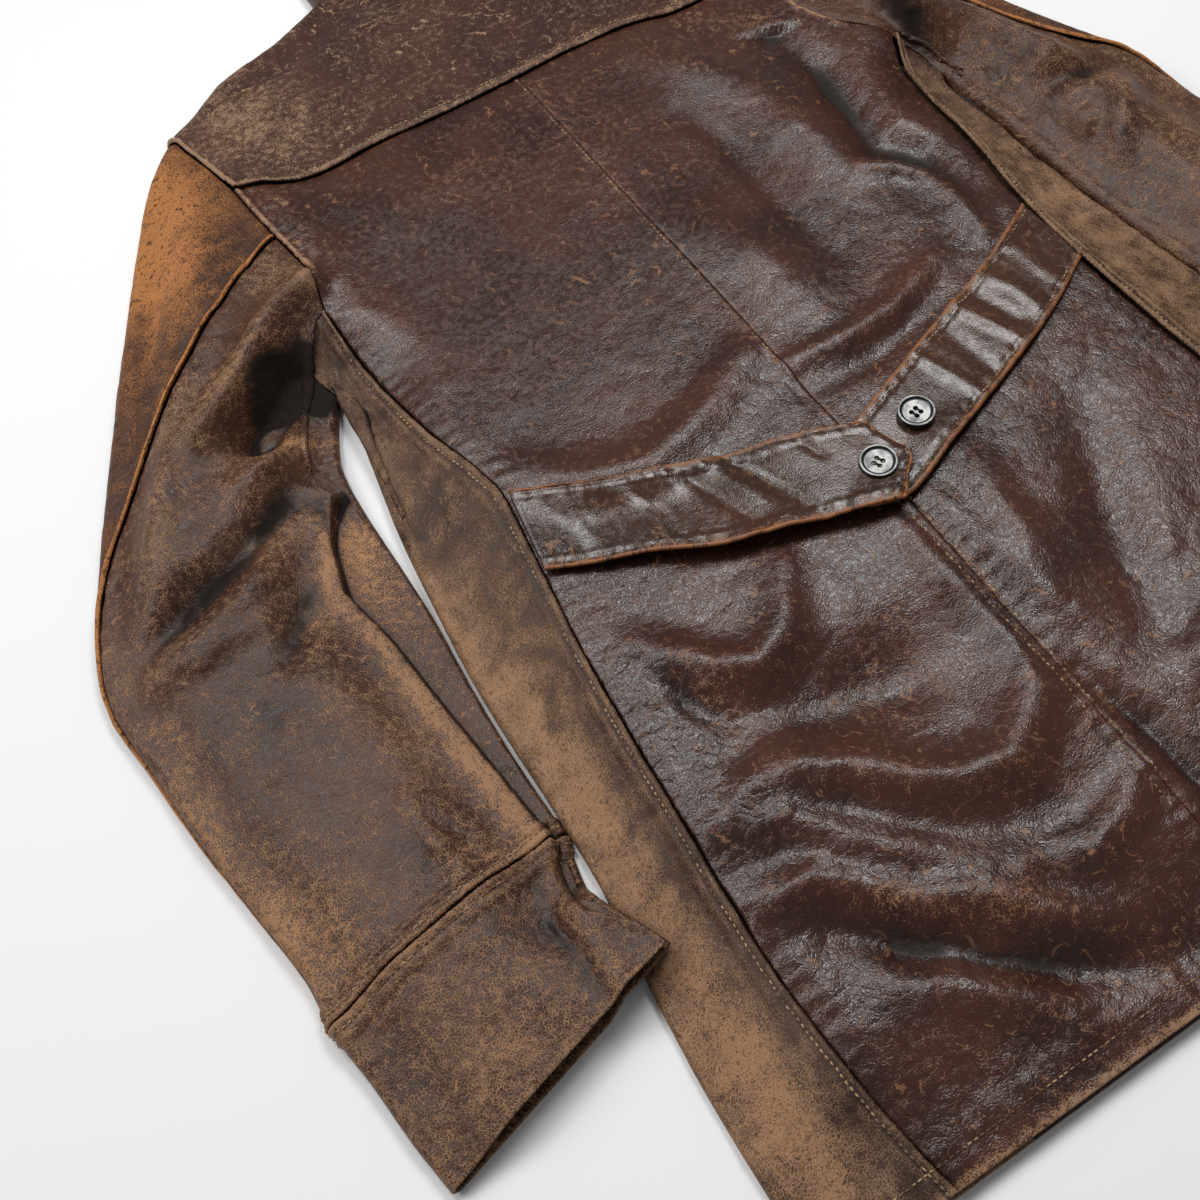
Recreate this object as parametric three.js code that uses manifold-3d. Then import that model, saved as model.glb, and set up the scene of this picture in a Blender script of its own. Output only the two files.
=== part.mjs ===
// A worn leather coat laid on its front, with the half-belted back upwards.
// Every panel is a soft wall. The fronts lie flat, the back, yoke and sleeves lie over
// them with their folds, and the belt lies on the back.
// Millimetres. X runs across the back, Y towards the collar, Z up from the surface.

import * as THREE from 'three';
import Module from 'manifold-3d';

const wasm = await Module();
wasm.setup();

// Driving dimensions
const WALL = 2;
const BELT_WALL = 2.4;
const SEAM_INSET = 0.16;
const LAP = 1.2;
const LAY_GAP = 0.5;
const BODY_FALL = 50;
const SLEEVE_FALL = 38;
const FOLD_SOFTNESS = 11;
const STRIP = 5.6;
const PLACKET = 5.3;
const FRONT_LAP = 2.7;
const BUTTON_RADIUS = 10.2;
const BUTTON_HEIGHT = 4.8;

// Cells along each seam, shared by the panels on both sides of it
const YOKE_ROWS = 4;
const BACK_ARM_ROWS = 7;
const SIDE_ARM_COLS = 3;
const SEAM_ROWS = 26;
const HALF_COLS = 12;
const SHOULDER_COLS = 9;
const NECK_COLS = 6;
const ROLL_COLS = 4;
const FRONT_ARM_ROWS = 4;
const SLEEVE_ROWS = 20;
const CUFF_ROWS = 4;

// Ring positions of a sleeve: top layer, inner roll, bottom layer, outer roll
const TOP_CELLS = YOKE_ROWS + BACK_ARM_ROWS + SIDE_ARM_COLS;
const INNER_END = TOP_CELLS + ROLL_COLS;
const BOTTOM_END = INNER_END + FRONT_ARM_ROWS + 2;
const RING = BOTTOM_END + ROLL_COLS;
const FRONT_SEAM = BOTTOM_END - 2;
const BACK_SEAM = YOKE_ROWS + 3;
const SLEEVE_STEPS = 12;
const CUFF_STEPS = 3;

// Outline points are [x, y, height of the rolled edge]
const LEFT = {
  side: -1,
  // neck corner, along the shoulder, down the outer edge of the sleeve, to the cuff end
  outer: [
    [-66, 161, 14], [-84, 153, 15], [-110, 143, 16], [-150, 133, 17], [-183, 114, 18], [-206, 101, 18],
    [-236, 68, 20], [-268, 17, 20], [-305, -45, 20], [-338, -103, 20], [-369, -158, 18], [-391, -203, 16],
    [-404, -247, 15], [-401, -293, 15], [-397, -342, 15], [-391, -388, 14], [-385, -432, 14], [-386, -461, 14],
    [-382, -495, 13], [-379, -528, 12], [-375, -555, 11],
  ],
  shoulderIndex: 5,
  // hem, up the side of the body, over the underarm point, down the sleeve to the cuff tip
  inner: [
    [-262, -677, 8], [-261, -640, 8], [-258, -580, 8], [-252, -525, 8], [-245, -475, 8], [-242.5, -430, 10],
    [-241.5, -385, 11], [-239.5, -345, 12], [-234.5, -298, 13], [-228, -249, 13], [-219.5, -205, 13],
    [-212.5, -173, 12], [-208, -156, 11], [-211, -145, 11], [-217.5, -155, 11],
    [-224.5, -168, 10], [-230.5, -182, 9], [-233.3, -198, 8], [-234.5, -216, 6.5], [-235, -237, 6],
    [-235.5, -264, STRIP], [-236.7, -298, STRIP], [-240.7, -340, STRIP], [-243, -380, STRIP], [-243.8, -415, STRIP], [-244.4, -441, STRIP],
    [-250, -475, 6], [-240, -501, 6.5], [-233, -518, 7],
  ],
  underarmIndex: 13,
  armYoke: [[-206, 101], [-197, 62], [-191, 24]],
  armBack: [[-191, 24], [-190, 0], [-187, -30], [-184, -60], [-185, -80], [-190, -97]],
  armSide: [[-190, -97], [-205, -106], [-215, -122], [-211, -145]],
  armFront: [[-198, -104], [-176, -72], [-171, -30], [-176, 18], [-196, 66]],
  sideSeam: [
    [-190, -97], [-189, -128], [-186, -165], [-182, -205], [-174, -245], [-172, -270], [-179, -318], [-187, -370],
    [-193, -425], [-197, -475], [-201, -520], [-203, -570], [-201, -620], [-197, -652], [-193, -676],
  ],
  yokeSeam: [[0, -2], [-50, -1], [-100, 2], [-128, 1], [-148, 3], [-162, 9], [-176, 19], [-191, 24]],
  hem: [[0, -677], [-60, -676], [-114, -676], [-193, -676]],
  frontSeam: [[-198, -104], [-150, -677]],
  // ring positions of the sleeve's back seam, one for each step along the sleeve
  backSeam: [BACK_SEAM, 6.5, 5.5, 3.9, 2, 0.5, -0.8, -1.6, -2, -2.2, -2.4, -2.4, -2.4],
  // how far across the top layer the upper fold ends, beyond which the lower layer lies flat
  strip: [1, 1, 1, 1, 1, 0.91, 0.83, 0.79, 0.845, 0.89, 0.925, 0.945, 0.965, 0.93, 1, 1],
  armFade: 2,
  cuffRise: { x: -276, y: -468, height: 11.2, reach: 14 },
};

const RIGHT = {
  side: 1,
  outer: [
    [66, 161, 14], [84, 153, 15], [110, 143, 16], [150, 133, 17], [183, 116, 18], [205, 101, 18],
    [228, 64, 22], [247, 14, 24], [264, -45, 26], [280, -105, 26], [300, -162, 26], [319, -208, 24],
    [326, -252, 20], [335, -300, 18], [347, -345, 16], [361, -390, 15], [374, -432, 14], [384, -464, 14],
    [390, -497, 13], [394, -530, 12], [396, -557, 11],
  ],
  shoulderIndex: 5,
  inner: [
    [262, -677, 8], [260, -640, 8], [256, -580, 9], [251, -520, 10], [246, -465, 12], [240, -405, 13],
    [234, -352, 13], [229, -312, 13], [226, -280, 13], [224, -250, 13], [222.5, -205, 13], [221, -180, 12],
    [220.2, -163, 12], [221.8, -153, 12], [223, -163, 12],
    [223.8, -180, 13], [224, -197, 14], [224.3, -214, 14], [224.9, -232, 14], [225.8, -254, 13],
    [227.7, -280, 12], [230.5, -310, 12], [234.5, -342, 12], [239, -378, 11], [243.5, -412, 10], [247, -440, 10],
    [250.5, -470, 10], [254, -500, 9], [257, -527, 8],
  ],
  underarmIndex: 13,
  armYoke: [[205, 101], [196, 60], [186, 12]],
  armBack: [[186, 12], [179, -14], [177, -40], [180, -62], [188, -84], [201, -102], [211, -113]],
  armSide: [[211, -113], [216, -124], [220, -137], [221.8, -153]],
  armFront: [[210, -106], [184, -72], [174, -30], [178, 18], [196, 66]],
  sideSeam: [
    [211, -113], [201, -136], [197, -165], [194, -198], [188, -232], [182, -264], [178, -298], [178, -340],
    [180, -400], [184, -450], [190, -505], [196, -565], [198, -620], [196, -652], [193, -676],
  ],
  yokeSeam: [[0, -2], [25, -2], [50, -3], [78, -6], [108, -10], [135, -12], [160, -4], [186, 12]],
  hem: [[0, -677], [60, -677], [114, -676], [193, -676]],
  frontSeam: [[210, -106], [150, -677]],
  backSeam: [BACK_SEAM, 6.6, 5.6, 4.2, 2.6, 1, -0.6, -1.6, -2.2, -2.4, -2.4, -2.4, -2.4],
  strip: null,
  armFade: 5,
  cuffRise: null,
};

const NECK = [[-40, 147], [0, 140], [40, 147]];
const FRONT_TOP_LEFT = [
  [-196, 66], [-152, 85], [-108, 104], [-62, 124], [-53, 108], [-40, 94], [-26, 85], [-10, 81], [25, 80],
];
const FRONT_HEM_LEFT = [
  [-150, -677], [-125, -677], [-100, -677], [-76, -677], [-56, -677], [-41, -677], [-27, -677], [-10, -677], [25, -677],
];

// Height of the upper layers along the coat, as [y, height]
const LEVELS = [[-677, 11], [-655, 13], [-600, 20], [-430, 27], [-280, 28], [0, 28], [90, 24], [161, 17]];

// Broad swells, as [x, y, reach across, reach along, height]
const SWELLS = [
  [-262, -30, 52, 95, 12], [-335, -175, 45, 60, 6], [-330, -340, 40, 90, 0], [262, -130, 38, 110, 17],
  [150, -12, 42, 45, -11], [30, -215, 26, 60, 4], [-110, -45, 45, 45, 3], [-60, -465, 55, 28, -6],
  [60, -560, 60, 60, 4], [-238, -508, 20, 22, -9], [320, -400, 40, 70, 2],
];

// The largest folds: a crest line, how far it reaches to each side, and its height
const FOLDS = [
  // upper back
  { line: [[75, -30], [95, -70], [108, -110], [112, -150], [118, -195]], reach: 20, height: 8 },
  { line: [[150, -60], [156, -110], [150, -150], [143, -182], [160, -205], [166, -245]], reach: 15, height: -9 },
  { line: [[122, -196], [138, -207], [149, -222], [151, -246], [147, -276]], reach: 10, height: 6 },
  { line: [[2, -287], [35, -292], [70, -291], [112, -276]], reach: 9, height: 5 },
  { line: [[-155, -262], [-128, -286], [-96, -298], [-60, -290], [-12, -268]], reach: 14, height: 6 },
  { line: [[-172, 0], [-168, -60], [-172, -130]], reach: 9, height: 4 },
  // below the belt
  { line: [[-163, -385], [-152, -402], [-139, -419], [-119, -430], [-99, -421], [-80, -392]], reach: 11, height: 8 },
  { line: [[-14, -400], [-12, -450], [-11, -490], [-18, -515]], reach: 10, height: 4 },
  { line: [[-160, -478], [-138, -484], [-115, -500], [-97, -520], [-76, -534], [-50, -538], [-18, -518]],
    reach: 12, height: 11 },
  { line: [[-178, -492], [-158, -502], [-140, -524], [-119, -547], [-84, -579]], reach: 10, height: 7 },
  { line: [[-192, -528], [-164, -534], [-147, -551], [-127, -571], [-102, -585], [-57, -641]], reach: 10, height: 8 },
  { line: [[-166, -556], [-145, -582], [-118, -608], [-88, -629], [-42, -652]], reach: 11, height: -9 },
  { line: [[-74, -583], [-48, -593], [-24, -588], [-6, -577]], reach: 10, height: 6 },
  { line: [[-160, -592], [-136, -602], [-118, -624], [-104, -646]], reach: 13, height: 5 },
  { line: [[6, -520], [14, -560], [15, -600], [12, -655]], reach: 9, height: -6 },
  { line: [[110, -405], [78, -462], [52, -525]], reach: 18, height: -7 },
  { line: [[40, -390], [34, -440], [24, -490]], reach: 14, height: 5 },
  { line: [[170, -470], [140, -510], [100, -536], [60, -548]], reach: 13, height: 9 },
  { line: [[176, -560], [140, -590], [95, -612], [50, -620]], reach: 12, height: 7 },
  // left sleeve
  { line: [[-188, -77], [-206, -82], [-228, -96], [-250, -116], [-285, -138]], reach: 13, height: 15 },
  { line: [[-230, -126], [-245, -136], [-262, -148]], reach: 15, height: -26 },
  { line: [[-222, -158], [-238, -163], [-258, -172], [-284, -180]], reach: 11, height: 9 },
  { line: [[-238, -190], [-272, -197], [-308, -216], [-345, -229], [-382, -242]], reach: 12, height: -11 },
  { line: [[-246, -206], [-270, -218], [-296, -236], [-335, -250], [-385, -257]], reach: 11, height: 6 },
  { line: [[-292, -105], [-318, -146], [-344, -183], [-368, -212]], reach: 15, height: 8 },
  { line: [[-272, -250], [-296, -270], [-318, -290]], reach: 9, height: -12 },
  { line: [[-335, -312], [-350, -335]], reach: 14, height: -5 },
  { line: [[-303, -392], [-299, -418], [-297, -440]], reach: 9, height: 5 },
  { line: [[-262, -452], [-264, -474], [-274, -498]], reach: 9, height: 4 },
  // right sleeve
  { line: [[222, -84], [229, -120], [236, -165], [240, -205], [248, -245]], reach: 11, height: 12 },
  { line: [[216, -98], [220, -124], [222, -142]], reach: 9, height: -14 },
  { line: [[244, -205], [275, -217], [316, -212]], reach: 10, height: -9 },
  { line: [[232, -292], [258, -266], [284, -242], [310, -222]], reach: 11, height: 6 },
  { line: [[240, -345], [262, -352], [300, -350]], reach: 12, height: -9 },
  { line: [[255, -395], [300, -400], [350, -392]], reach: 12, height: 5 },
];

const BELT_LEFT = {
  top: [[-169.5, -270], [-152, -281], [-127, -296], [-82, -314], [-34, -329], [8, -347]],
  bottom: [[-179, -323], [-155, -336], [-130, -348], [-99, -367], [-69, -377], [-34, -389], [-5, -400]],
  end: [[8, -347], [11, -363], [15.5, -378], [5, -389], [-5, -400]],
};
const BELT_RIGHT = {
  top: [[176.5, -275], [150, -289], [118, -302], [77, -316], [30, -333], [-18, -349]],
  bottom: [[177, -326], [150, -341], [121, -354], [80, -369], [43, -382], [2, -396], [-22, -390]],
};
const BELT_COLS = 12;
const BELT_ROWS = 4;

const BUTTON_PLACES = { button_belt: [-4, -374], button_spare: [33, -359] };
const FRONT_BUTTON_YS = [28, -80, -190, -300, -405];

const leather = {
  yoke: '#5c4636', back: '#4b2e25', side: '#8a6343', sleeveTop: '#8f5a33', sleeveUnder: '#54412f',
  cuff: '#4f3f30', belt: '#4a3022', front: '#4d3428', collar: '#55402f',
};

const coat = new THREE.Group();

function finish(colour, roughness = 0.5) {
  return new THREE.MeshStandardMaterial({ color: colour, roughness, metalness: 0 });
}

// Small maths

function clamp01(value) {
  return Math.min(1, Math.max(0, value));
}

function soft(value) {
  const t = clamp01(value);
  return t * t * (3 - 2 * t);
}

function mix(a, b, t) {
  return a.map((value, i) => value + (b[i] - value) * t);
}

function smoothCurve(points) {
  const vectors = points.map(([x, y, z = 0]) => new THREE.Vector3(x, y, z));
  return new THREE.CatmullRomCurve3(vectors, false, 'catmullrom', 0.5);
}

// The point and outward direction of a curve at a position counted in its own points
function curvePoint(curve, index) {
  const last = curve.points.length - 1;
  return curve.getPoint(clamp01(index / last)).toArray();
}

function spaced(points, count) {
  return smoothCurve(points).getSpacedPoints(count).map((p) => [p.x, p.y]);
}

// A point of a list at a position that may fall between two of its members
function listPoint(list, position) {
  const i = Math.min(list.length - 2, Math.max(0, Math.floor(position)));
  return mix(list[i], list[i + 1], position - i);
}

// A patch between four border lists, blended from both pairs of borders
function patch(west, east, south, north) {
  const rows = west.length - 1;
  const cols = south.length - 1;
  const grid = [];
  for (let i = 0; i <= rows; i += 1) {
    const row = [];
    for (let j = 0; j <= cols; j += 1) {
      const v = i / rows;
      const u = j / cols;
      const across = mix(west[i], east[i], u);
      const along = mix(south[j], north[j], v);
      const corners = mix(mix(south[0], south[cols], u), mix(north[0], north[cols], u), v);
      row.push(across.map((value, k) => value + along[k] - corners[k]));
    }
    grid.push(row);
  }
  return grid;
}

// Heights of the upper layers

function level(y) {
  const last = LEVELS.length - 1;
  if (y <= LEVELS[0][0]) return LEVELS[0][1];
  if (y >= LEVELS[last][0]) return LEVELS[last][1];
  const i = LEVELS.findIndex(([end]) => end >= y);
  const [y0, z0] = LEVELS[i - 1];
  const [y1, z1] = LEVELS[i];
  return z0 + (z1 - z0) * soft((y - y0) / (y1 - y0));
}

function toSegment(x, y, a, b) {
  const dx = b[0] - a[0];
  const dy = b[1] - a[1];
  const t = clamp01(((x - a[0]) * dx + (y - a[1]) * dy) / (dx * dx + dy * dy));
  return { distance: Math.hypot(x - a[0] - t * dx, y - a[1] - t * dy), t };
}

function nearest(lines, x, y) {
  let best = { distance: Infinity, rim: 0 };
  for (const line of lines) {
    for (let i = 0; i < line.length - 1; i += 1) {
      const { distance, t } = toSegment(x, y, line[i], line[i + 1]);
      if (distance < best.distance) {
        best = { distance, rim: (line[i][2] ?? 0) * (1 - t) + (line[i + 1][2] ?? 0) * t };
      }
    }
  }
  return best;
}

function fullHeight(x, y) {
  let z = level(y);
  for (const [cx, cy, rx, ry, height] of SWELLS) {
    z += height * Math.exp(-(((x - cx) / rx) ** 2) - ((y - cy) / ry) ** 2);
  }
  for (const fold of FOLDS) {
    const { distance } = nearest([fold.line], x, y);
    const reach = Math.hypot(fold.reach, FOLD_SOFTNESS);
    z += fold.height * (fold.reach / reach) * Math.exp(-((distance / reach) ** 2));
  }
  return z;
}

function heightInside(lines, fall, x, y) {
  const { distance, rim } = nearest(lines, x, y);
  const top = Math.max(fullHeight(x, y), rim + 0.5);
  return rim + (top - rim) * soft((distance - rim / 2) / fall);
}

// The curves of one side, worked out once
function prepare(half) {
  const outer = smoothCurve(half.outer);
  const inner = smoothCurve(half.inner);
  const lastOuter = half.outer.length - 1;
  const lastInner = half.inner.length - 1;
  const run = (curve, from, to, step = 0.34) => {
    const points = [];
    for (let k = from; k < to; k += step) points.push(curvePoint(curve, k));
    points.push(curvePoint(curve, to));
    return points;
  };
  const shoulder = run(outer, 0, half.shoulderIndex);
  const outerNear = run(outer, half.shoulderIndex, half.shoulderIndex + 4);
  const innerNear = run(inner, half.underarmIndex, half.underarmIndex + 4);
  const bodyNear = run(inner, half.underarmIndex - 5, half.underarmIndex);
  const bodyEdge = run(inner, 0, half.underarmIndex);
  const sleeveOuter = run(outer, half.shoulderIndex, lastOuter);
  const innerStop = half.strip ? half.underarmIndex + 5 : lastInner;
  const sleeveInner = run(inner, half.underarmIndex, innerStop);
  return {
    ...half,
    outerCurve: outer,
    innerCurve: inner,
    bodyLines: [shoulder, bodyEdge, outerNear, innerNear],
    sleeveLines: [shoulder, sleeveOuter, sleeveInner, bodyNear],
  };
}

const left = prepare(LEFT);
const right = prepare(RIGHT);

// Where the upper fold of the sleeve ends over its own flat lower layer
function stripLine(half) {
  const points = [];
  for (let k = 5; k <= SLEEVE_STEPS + 2; k += 1) {
    const o = rimFrame(half, 'outer', k);
    const i = rimFrame(half, 'inner', k);
    points.push([...mix(o.centre, i.centre, half.strip[k]), 15]);
  }
  return points;
}

// A point of a rolled edge: its outward direction in plan, radius and centre line.
// Steps are counted from the armhole, k = 0, to the cuff seam and the cuff's end.
function rimFrame(half, which, k) {
  const curve = which === 'outer' ? half.outerCurve : half.innerCurve;
  const start = which === 'outer' ? half.shoulderIndex : half.underarmIndex;
  const [x, y, rim] = curvePoint(curve, start + k);
  const a = curvePoint(curve, start + k - 0.3);
  const b = curvePoint(curve, start + k + 0.3);
  const length = Math.hypot(b[0] - a[0], b[1] - a[1]);
  const turn = half.side * (which === 'outer' ? 1 : -1);
  const out = [-turn * (b[1] - a[1]) / length, turn * (b[0] - a[0]) / length];
  const r = rim / 2;
  return { edge: [x, y], out, r, centre: [x - out[0] * r, y - out[1] * r] };
}

left.sleeveLines.push(stripLine(left));

function bodyHeight(x, y) {
  return heightInside(x < 0 ? left.bodyLines : right.bodyLines, BODY_FALL, x, y);
}

function sleeveHeight(half, x, y) {
  return heightInside(half.sleeveLines, SLEEVE_FALL, x, y);
}

// A point of a wall: its place, the outward direction there, and how far it is lifted

function upward(height, x, y, step = 2) {
  const dx = (height(x + step, y) - height(x - step, y)) / (2 * step);
  const dy = (height(x, y + step) - height(x, y - step)) / (2 * step);
  return new THREE.Vector3(-dx, -dy, 1).normalize();
}

function onTop(height, [x, y], lift = 0) {
  const n = upward(height, x, y);
  return { p: new THREE.Vector3(x, y, height(x, y)).addScaledVector(n, lift), n };
}

function onFloor([x, y], z = 0) {
  return { p: new THREE.Vector3(x, y, z), n: new THREE.Vector3(0, 0, -1) };
}

// A point of a rolled edge, from the top, turn = 0, to the underside, turn = 1
function onRoll(frame, turn, base = 0) {
  const angle = Math.PI * (0.5 - turn);
  const n = new THREE.Vector3(frame.out[0] * Math.cos(angle), frame.out[1] * Math.cos(angle), Math.sin(angle));
  const centre = new THREE.Vector3(frame.centre[0], frame.centre[1], base + frame.r);
  return { p: centre.addScaledVector(n, frame.r), n };
}

// One closed wall from a grid of outer points. Cells with a missing corner are left
// out, and every open side is closed by the wall's own edge.
function wall(name, colour, grid, { thickness = WALL, closed = false } = {}) {
  const rows = grid.length;
  const cols = grid[0].length;
  const cells = [];
  for (let i = 0; i < rows - 1; i += 1) {
    for (let j = 0; j < (closed ? cols : cols - 1); j += 1) {
      const k = (j + 1) % cols;
      const corners = [i * cols + j, i * cols + k, (i + 1) * cols + k, (i + 1) * cols + j];
      const whole = corners.every((c) => grid[Math.floor(c / cols)][c % cols]);
      if (whole) cells.push(corners);
    }
  }
  const at = (index) => grid[Math.floor(index / cols)][index % cols];
  const edges = new Map();
  for (const cell of cells) {
    cell.forEach((a, k) => {
      const b = cell[(k + 1) % 4];
      const key = `${Math.min(a, b)}_${Math.max(a, b)}`;
      if (edges.has(key)) edges.delete(key);
      else edges.set(key, { a, b, cell });
    });
  }
  // each open side moves in, along the wall, by the seam inset
  const shifts = new Map();
  for (const { a, b, cell } of edges.values()) {
    const along = at(b).p.clone().sub(at(a).p).normalize();
    const middle = new THREE.Vector3();
    cell.forEach((c) => middle.addScaledVector(at(c).p, 0.25));
    const inward = middle.sub(at(a).p);
    inward.addScaledVector(along, -inward.dot(along)).normalize();
    for (const c of [a, b]) shifts.set(c, [...(shifts.get(c) ?? []), inward]);
  }
  const used = new Map();
  const outer = [];
  const inner = [];
  const slot = (index) => {
    if (!used.has(index)) {
      const { p, n } = at(index);
      const place = p.clone();
      const [first, second] = shifts.get(index) ?? [];
      if (first && second) {
        const both = first.clone().add(second);
        place.addScaledVector(both, SEAM_INSET / Math.max(0.4, 1 + first.dot(second)));
      }
      place.z = Math.max(place.z, Math.min(0, p.z));
      used.set(index, outer.length);
      outer.push(place);
      inner.push(place.clone().addScaledVector(n, -thickness));
    }
    return used.get(index);
  };
  const faces = [];
  const sample = cells[Math.floor(cells.length / 2)];
  const side1 = at(sample[1]).p.clone().sub(at(sample[0]).p);
  const side2 = at(sample[3]).p.clone().sub(at(sample[0]).p);
  const facesOut = side1.cross(side2).dot(at(sample[0]).n) > 0;
  // each cell is split along the diagonal that lies closest in the surface
  const leave = (a, b) => {
    const line = at(b).p.clone().sub(at(a).p);
    return Math.abs(line.dot(at(a).n)) + Math.abs(line.dot(at(b).n));
  };
  const quads = cells.map(([a, b, c, d]) => (leave(a, c) <= leave(b, d) ? [a, b, c, d] : [b, c, d, a]).map(slot));
  const count = outer.length;
  for (const [a, b, c, d] of quads) {
    faces.push([a, b, c], [a, c, d]);
    faces.push([a + count, c + count, b + count], [a + count, d + count, c + count]);
  }
  // both panels at a seam split their edge walls the same way
  for (const { a, b } of edges.values()) {
    const [s, t] = [slot(a), slot(b)];
    const [p, q] = [at(a).p, at(b).p];
    const fromStart = p.x + 0.37 * p.y + 0.11 * p.z < q.x + 0.37 * q.y + 0.11 * q.z;
    if (fromStart) faces.push([t, s, t + count], [s, s + count, t + count]);
    else faces.push([t, s, s + count], [t, s + count, t + count]);
  }
  const index = faces.flatMap((face) => (facesOut ? face : [face[0], face[2], face[1]]));
  const position = [...outer, ...inner].flatMap((v) => v.toArray());
  const geometry = new THREE.BufferGeometry();
  geometry.setAttribute('position', new THREE.Float32BufferAttribute(position, 3));
  geometry.setIndex(index);
  geometry.computeVertexNormals();
  const mesh = new THREE.Mesh(geometry, finish(colour));
  mesh.name = name;
  coat.add(mesh);
  return mesh;
}

// Seams that two panels share, as lists with the same number of cells on both sides

function seams(half) {
  const shoulderPoint = rimFrame(half, 'outer', 0).centre;
  const underarm = rimFrame(half, 'inner', 0).centre;
  const yokeArm = spaced(half.armYoke, YOKE_ROWS);
  const backArm = spaced(half.armBack, BACK_ARM_ROWS);
  const sideArm = spaced(half.armSide, SIDE_ARM_COLS);
  yokeArm[0] = shoulderPoint;
  sideArm[SIDE_ARM_COLS] = underarm;
  const frontArm = spaced(half.armFront, FRONT_ARM_ROWS);
  const shoulderFrames = [];
  for (let j = 0; j <= SHOULDER_COLS; j += 1) {
    const k = -half.shoulderIndex * (1 - j / SHOULDER_COLS);
    shoulderFrames.push(rimFrame(half, 'outer', k));
  }
  const bodyFrames = bodyRows(half);
  return {
    yokeArm,
    backArm,
    sideArm,
    frontArm,
    shoulderFrames,
    bodyFrames,
    sideSeam: spaced(half.sideSeam, SEAM_ROWS),
    yokeSeam: spaced(half.yokeSeam, HALF_COLS),
    hem: spaced(half.hem, HALF_COLS),
    armTop: [...yokeArm, ...backArm.slice(1), ...sideArm.slice(1)],
    armBottom: [underarm, ...frontArm, shoulderPoint],
  };
}

// Frames down the body's side fold, from the underarm to the hem, closer at its turn
function bodyRows(half) {
  const fine = 400;
  const places = [];
  let length = 0;
  let before = null;
  for (let k = 0; k <= fine; k += 1) {
    const position = -half.underarmIndex * (k / fine);
    const { edge } = rimFrame(half, 'inner', position);
    if (before) length += Math.hypot(edge[0] - before[0], edge[1] - before[1]);
    before = edge;
    places.push({ position, length });
  }
  const frames = [];
  for (let i = 0; i <= SEAM_ROWS; i += 1) {
    const rows = i === 0 ? 0 : i - 0.6 * 0.7 ** (i - 1);
    const wanted = Math.min(length, (length * rows) / (SEAM_ROWS - 0.6 * 0.7 ** (SEAM_ROWS - 1)));
    const place = places.find((entry) => entry.length >= wanted - 1e-6);
    frames.push(rimFrame(half, 'inner', place.position));
  }
  return frames;
}

const leftSeams = seams(left);
const rightSeams = seams(right);

// The yoke: over the shoulder blades, rolled over each shoulder to a front seam

function makeYoke() {
  const leftTop = leftSeams.shoulderFrames.map((frame) => frame.centre).reverse();
  const rightTop = rightSeams.shoulderFrames.map((frame) => frame.centre);
  const neck = spaced([leftTop[SHOULDER_COLS], ...NECK, rightTop[0]], NECK_COLS);
  const north = [...leftTop, ...neck.slice(1, -1), ...rightTop];
  const south = [...leftSeams.yokeSeam.slice().reverse(), ...rightSeams.yokeSeam.slice(1)];
  const west = leftSeams.yokeArm.slice().reverse();
  const east = rightSeams.yokeArm.slice().reverse();
  const plan = patch(west, east, south, north);
  const grid = plan.map((row, i) => row.map((at, j) => {
    const lapped = i === 0 && j > 0 && j < row.length - 1;
    return onTop(bodyHeight, at, lapped ? LAP : 0);
  }));
  const frames = [
    ...leftSeams.shoulderFrames.slice().reverse(),
    ...Array(NECK_COLS - 1).fill(null),
    ...rightSeams.shoulderFrames,
  ];
  grid[YOKE_ROWS] = frames.map((frame, j) => (frame ? onRoll(frame, 0) : grid[YOKE_ROWS][j]));
  for (let turn = 1; turn <= ROLL_COLS; turn += 1) {
    grid.push(frames.map((frame) => (frame ? onRoll(frame, turn / ROLL_COLS) : null)));
  }
  const last = frames.length - 1;
  const start = FRONT_TOP_LEFT[0];
  const end = FRONT_TOP_LEFT[3];
  grid.push(frames.map((frame, j) => {
    if (!frame) return null;
    const fromArm = Math.min(j, last - j) / SHOULDER_COLS;
    const [x, y] = mix(start, end, fromArm);
    return onFloor([j < last / 2 ? x : -x, y]);
  }));
  wall('yoke_back', leather.yoke, grid);
  return neck;
}

// The two back panels, joined down the centre, with a short vent at the hem

const VENT_TOP = -600;
const VENT_COLS = 2;
const VENT_GAP = 0.6;

function makeBack(half, lists) {
  const rows = BACK_ARM_ROWS + SEAM_ROWS;
  const outer = [...lists.backArm, ...lists.sideSeam.slice(1)];
  const [top, seamTop, hem] = [lists.backArm[0][1], lists.sideSeam[0][1], lists.hem[0][1]];
  const armShare = (top - seamTop) / (top - hem);
  const centreTop = lists.yokeSeam[0][1];
  const centre = [];
  for (let i = 0; i <= rows; i += 1) {
    const share = i <= BACK_ARM_ROWS
      ? (armShare * i) / BACK_ARM_ROWS
      : armShare + ((1 - armShare) * (i - BACK_ARM_ROWS)) / SEAM_ROWS;
    centre.push([0, centreTop + (hem - centreTop) * share]);
  }
  const plan = patch(centre, outer, lists.yokeSeam, lists.hem);
  return plan.map((row) => row.map((at) => onTop(bodyHeight, at)));
}

// The left panel goes on under the right one below the top of the vent
function addVent(leftGrid, rightGrid) {
  leftGrid.forEach((row, i) => {
    const under = rightGrid[i].slice(0, VENT_COLS + 1).map(({ p, n }) => (
      { p: p.clone().addScaledVector(n, -WALL - VENT_GAP), n }
    ));
    const inVent = row[0].p.y < VENT_TOP;
    if (inVent) row[0] = under[0];
    for (let j = 1; j <= VENT_COLS; j += 1) row.unshift(inVent ? under[j] : null);
  });
}

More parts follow.
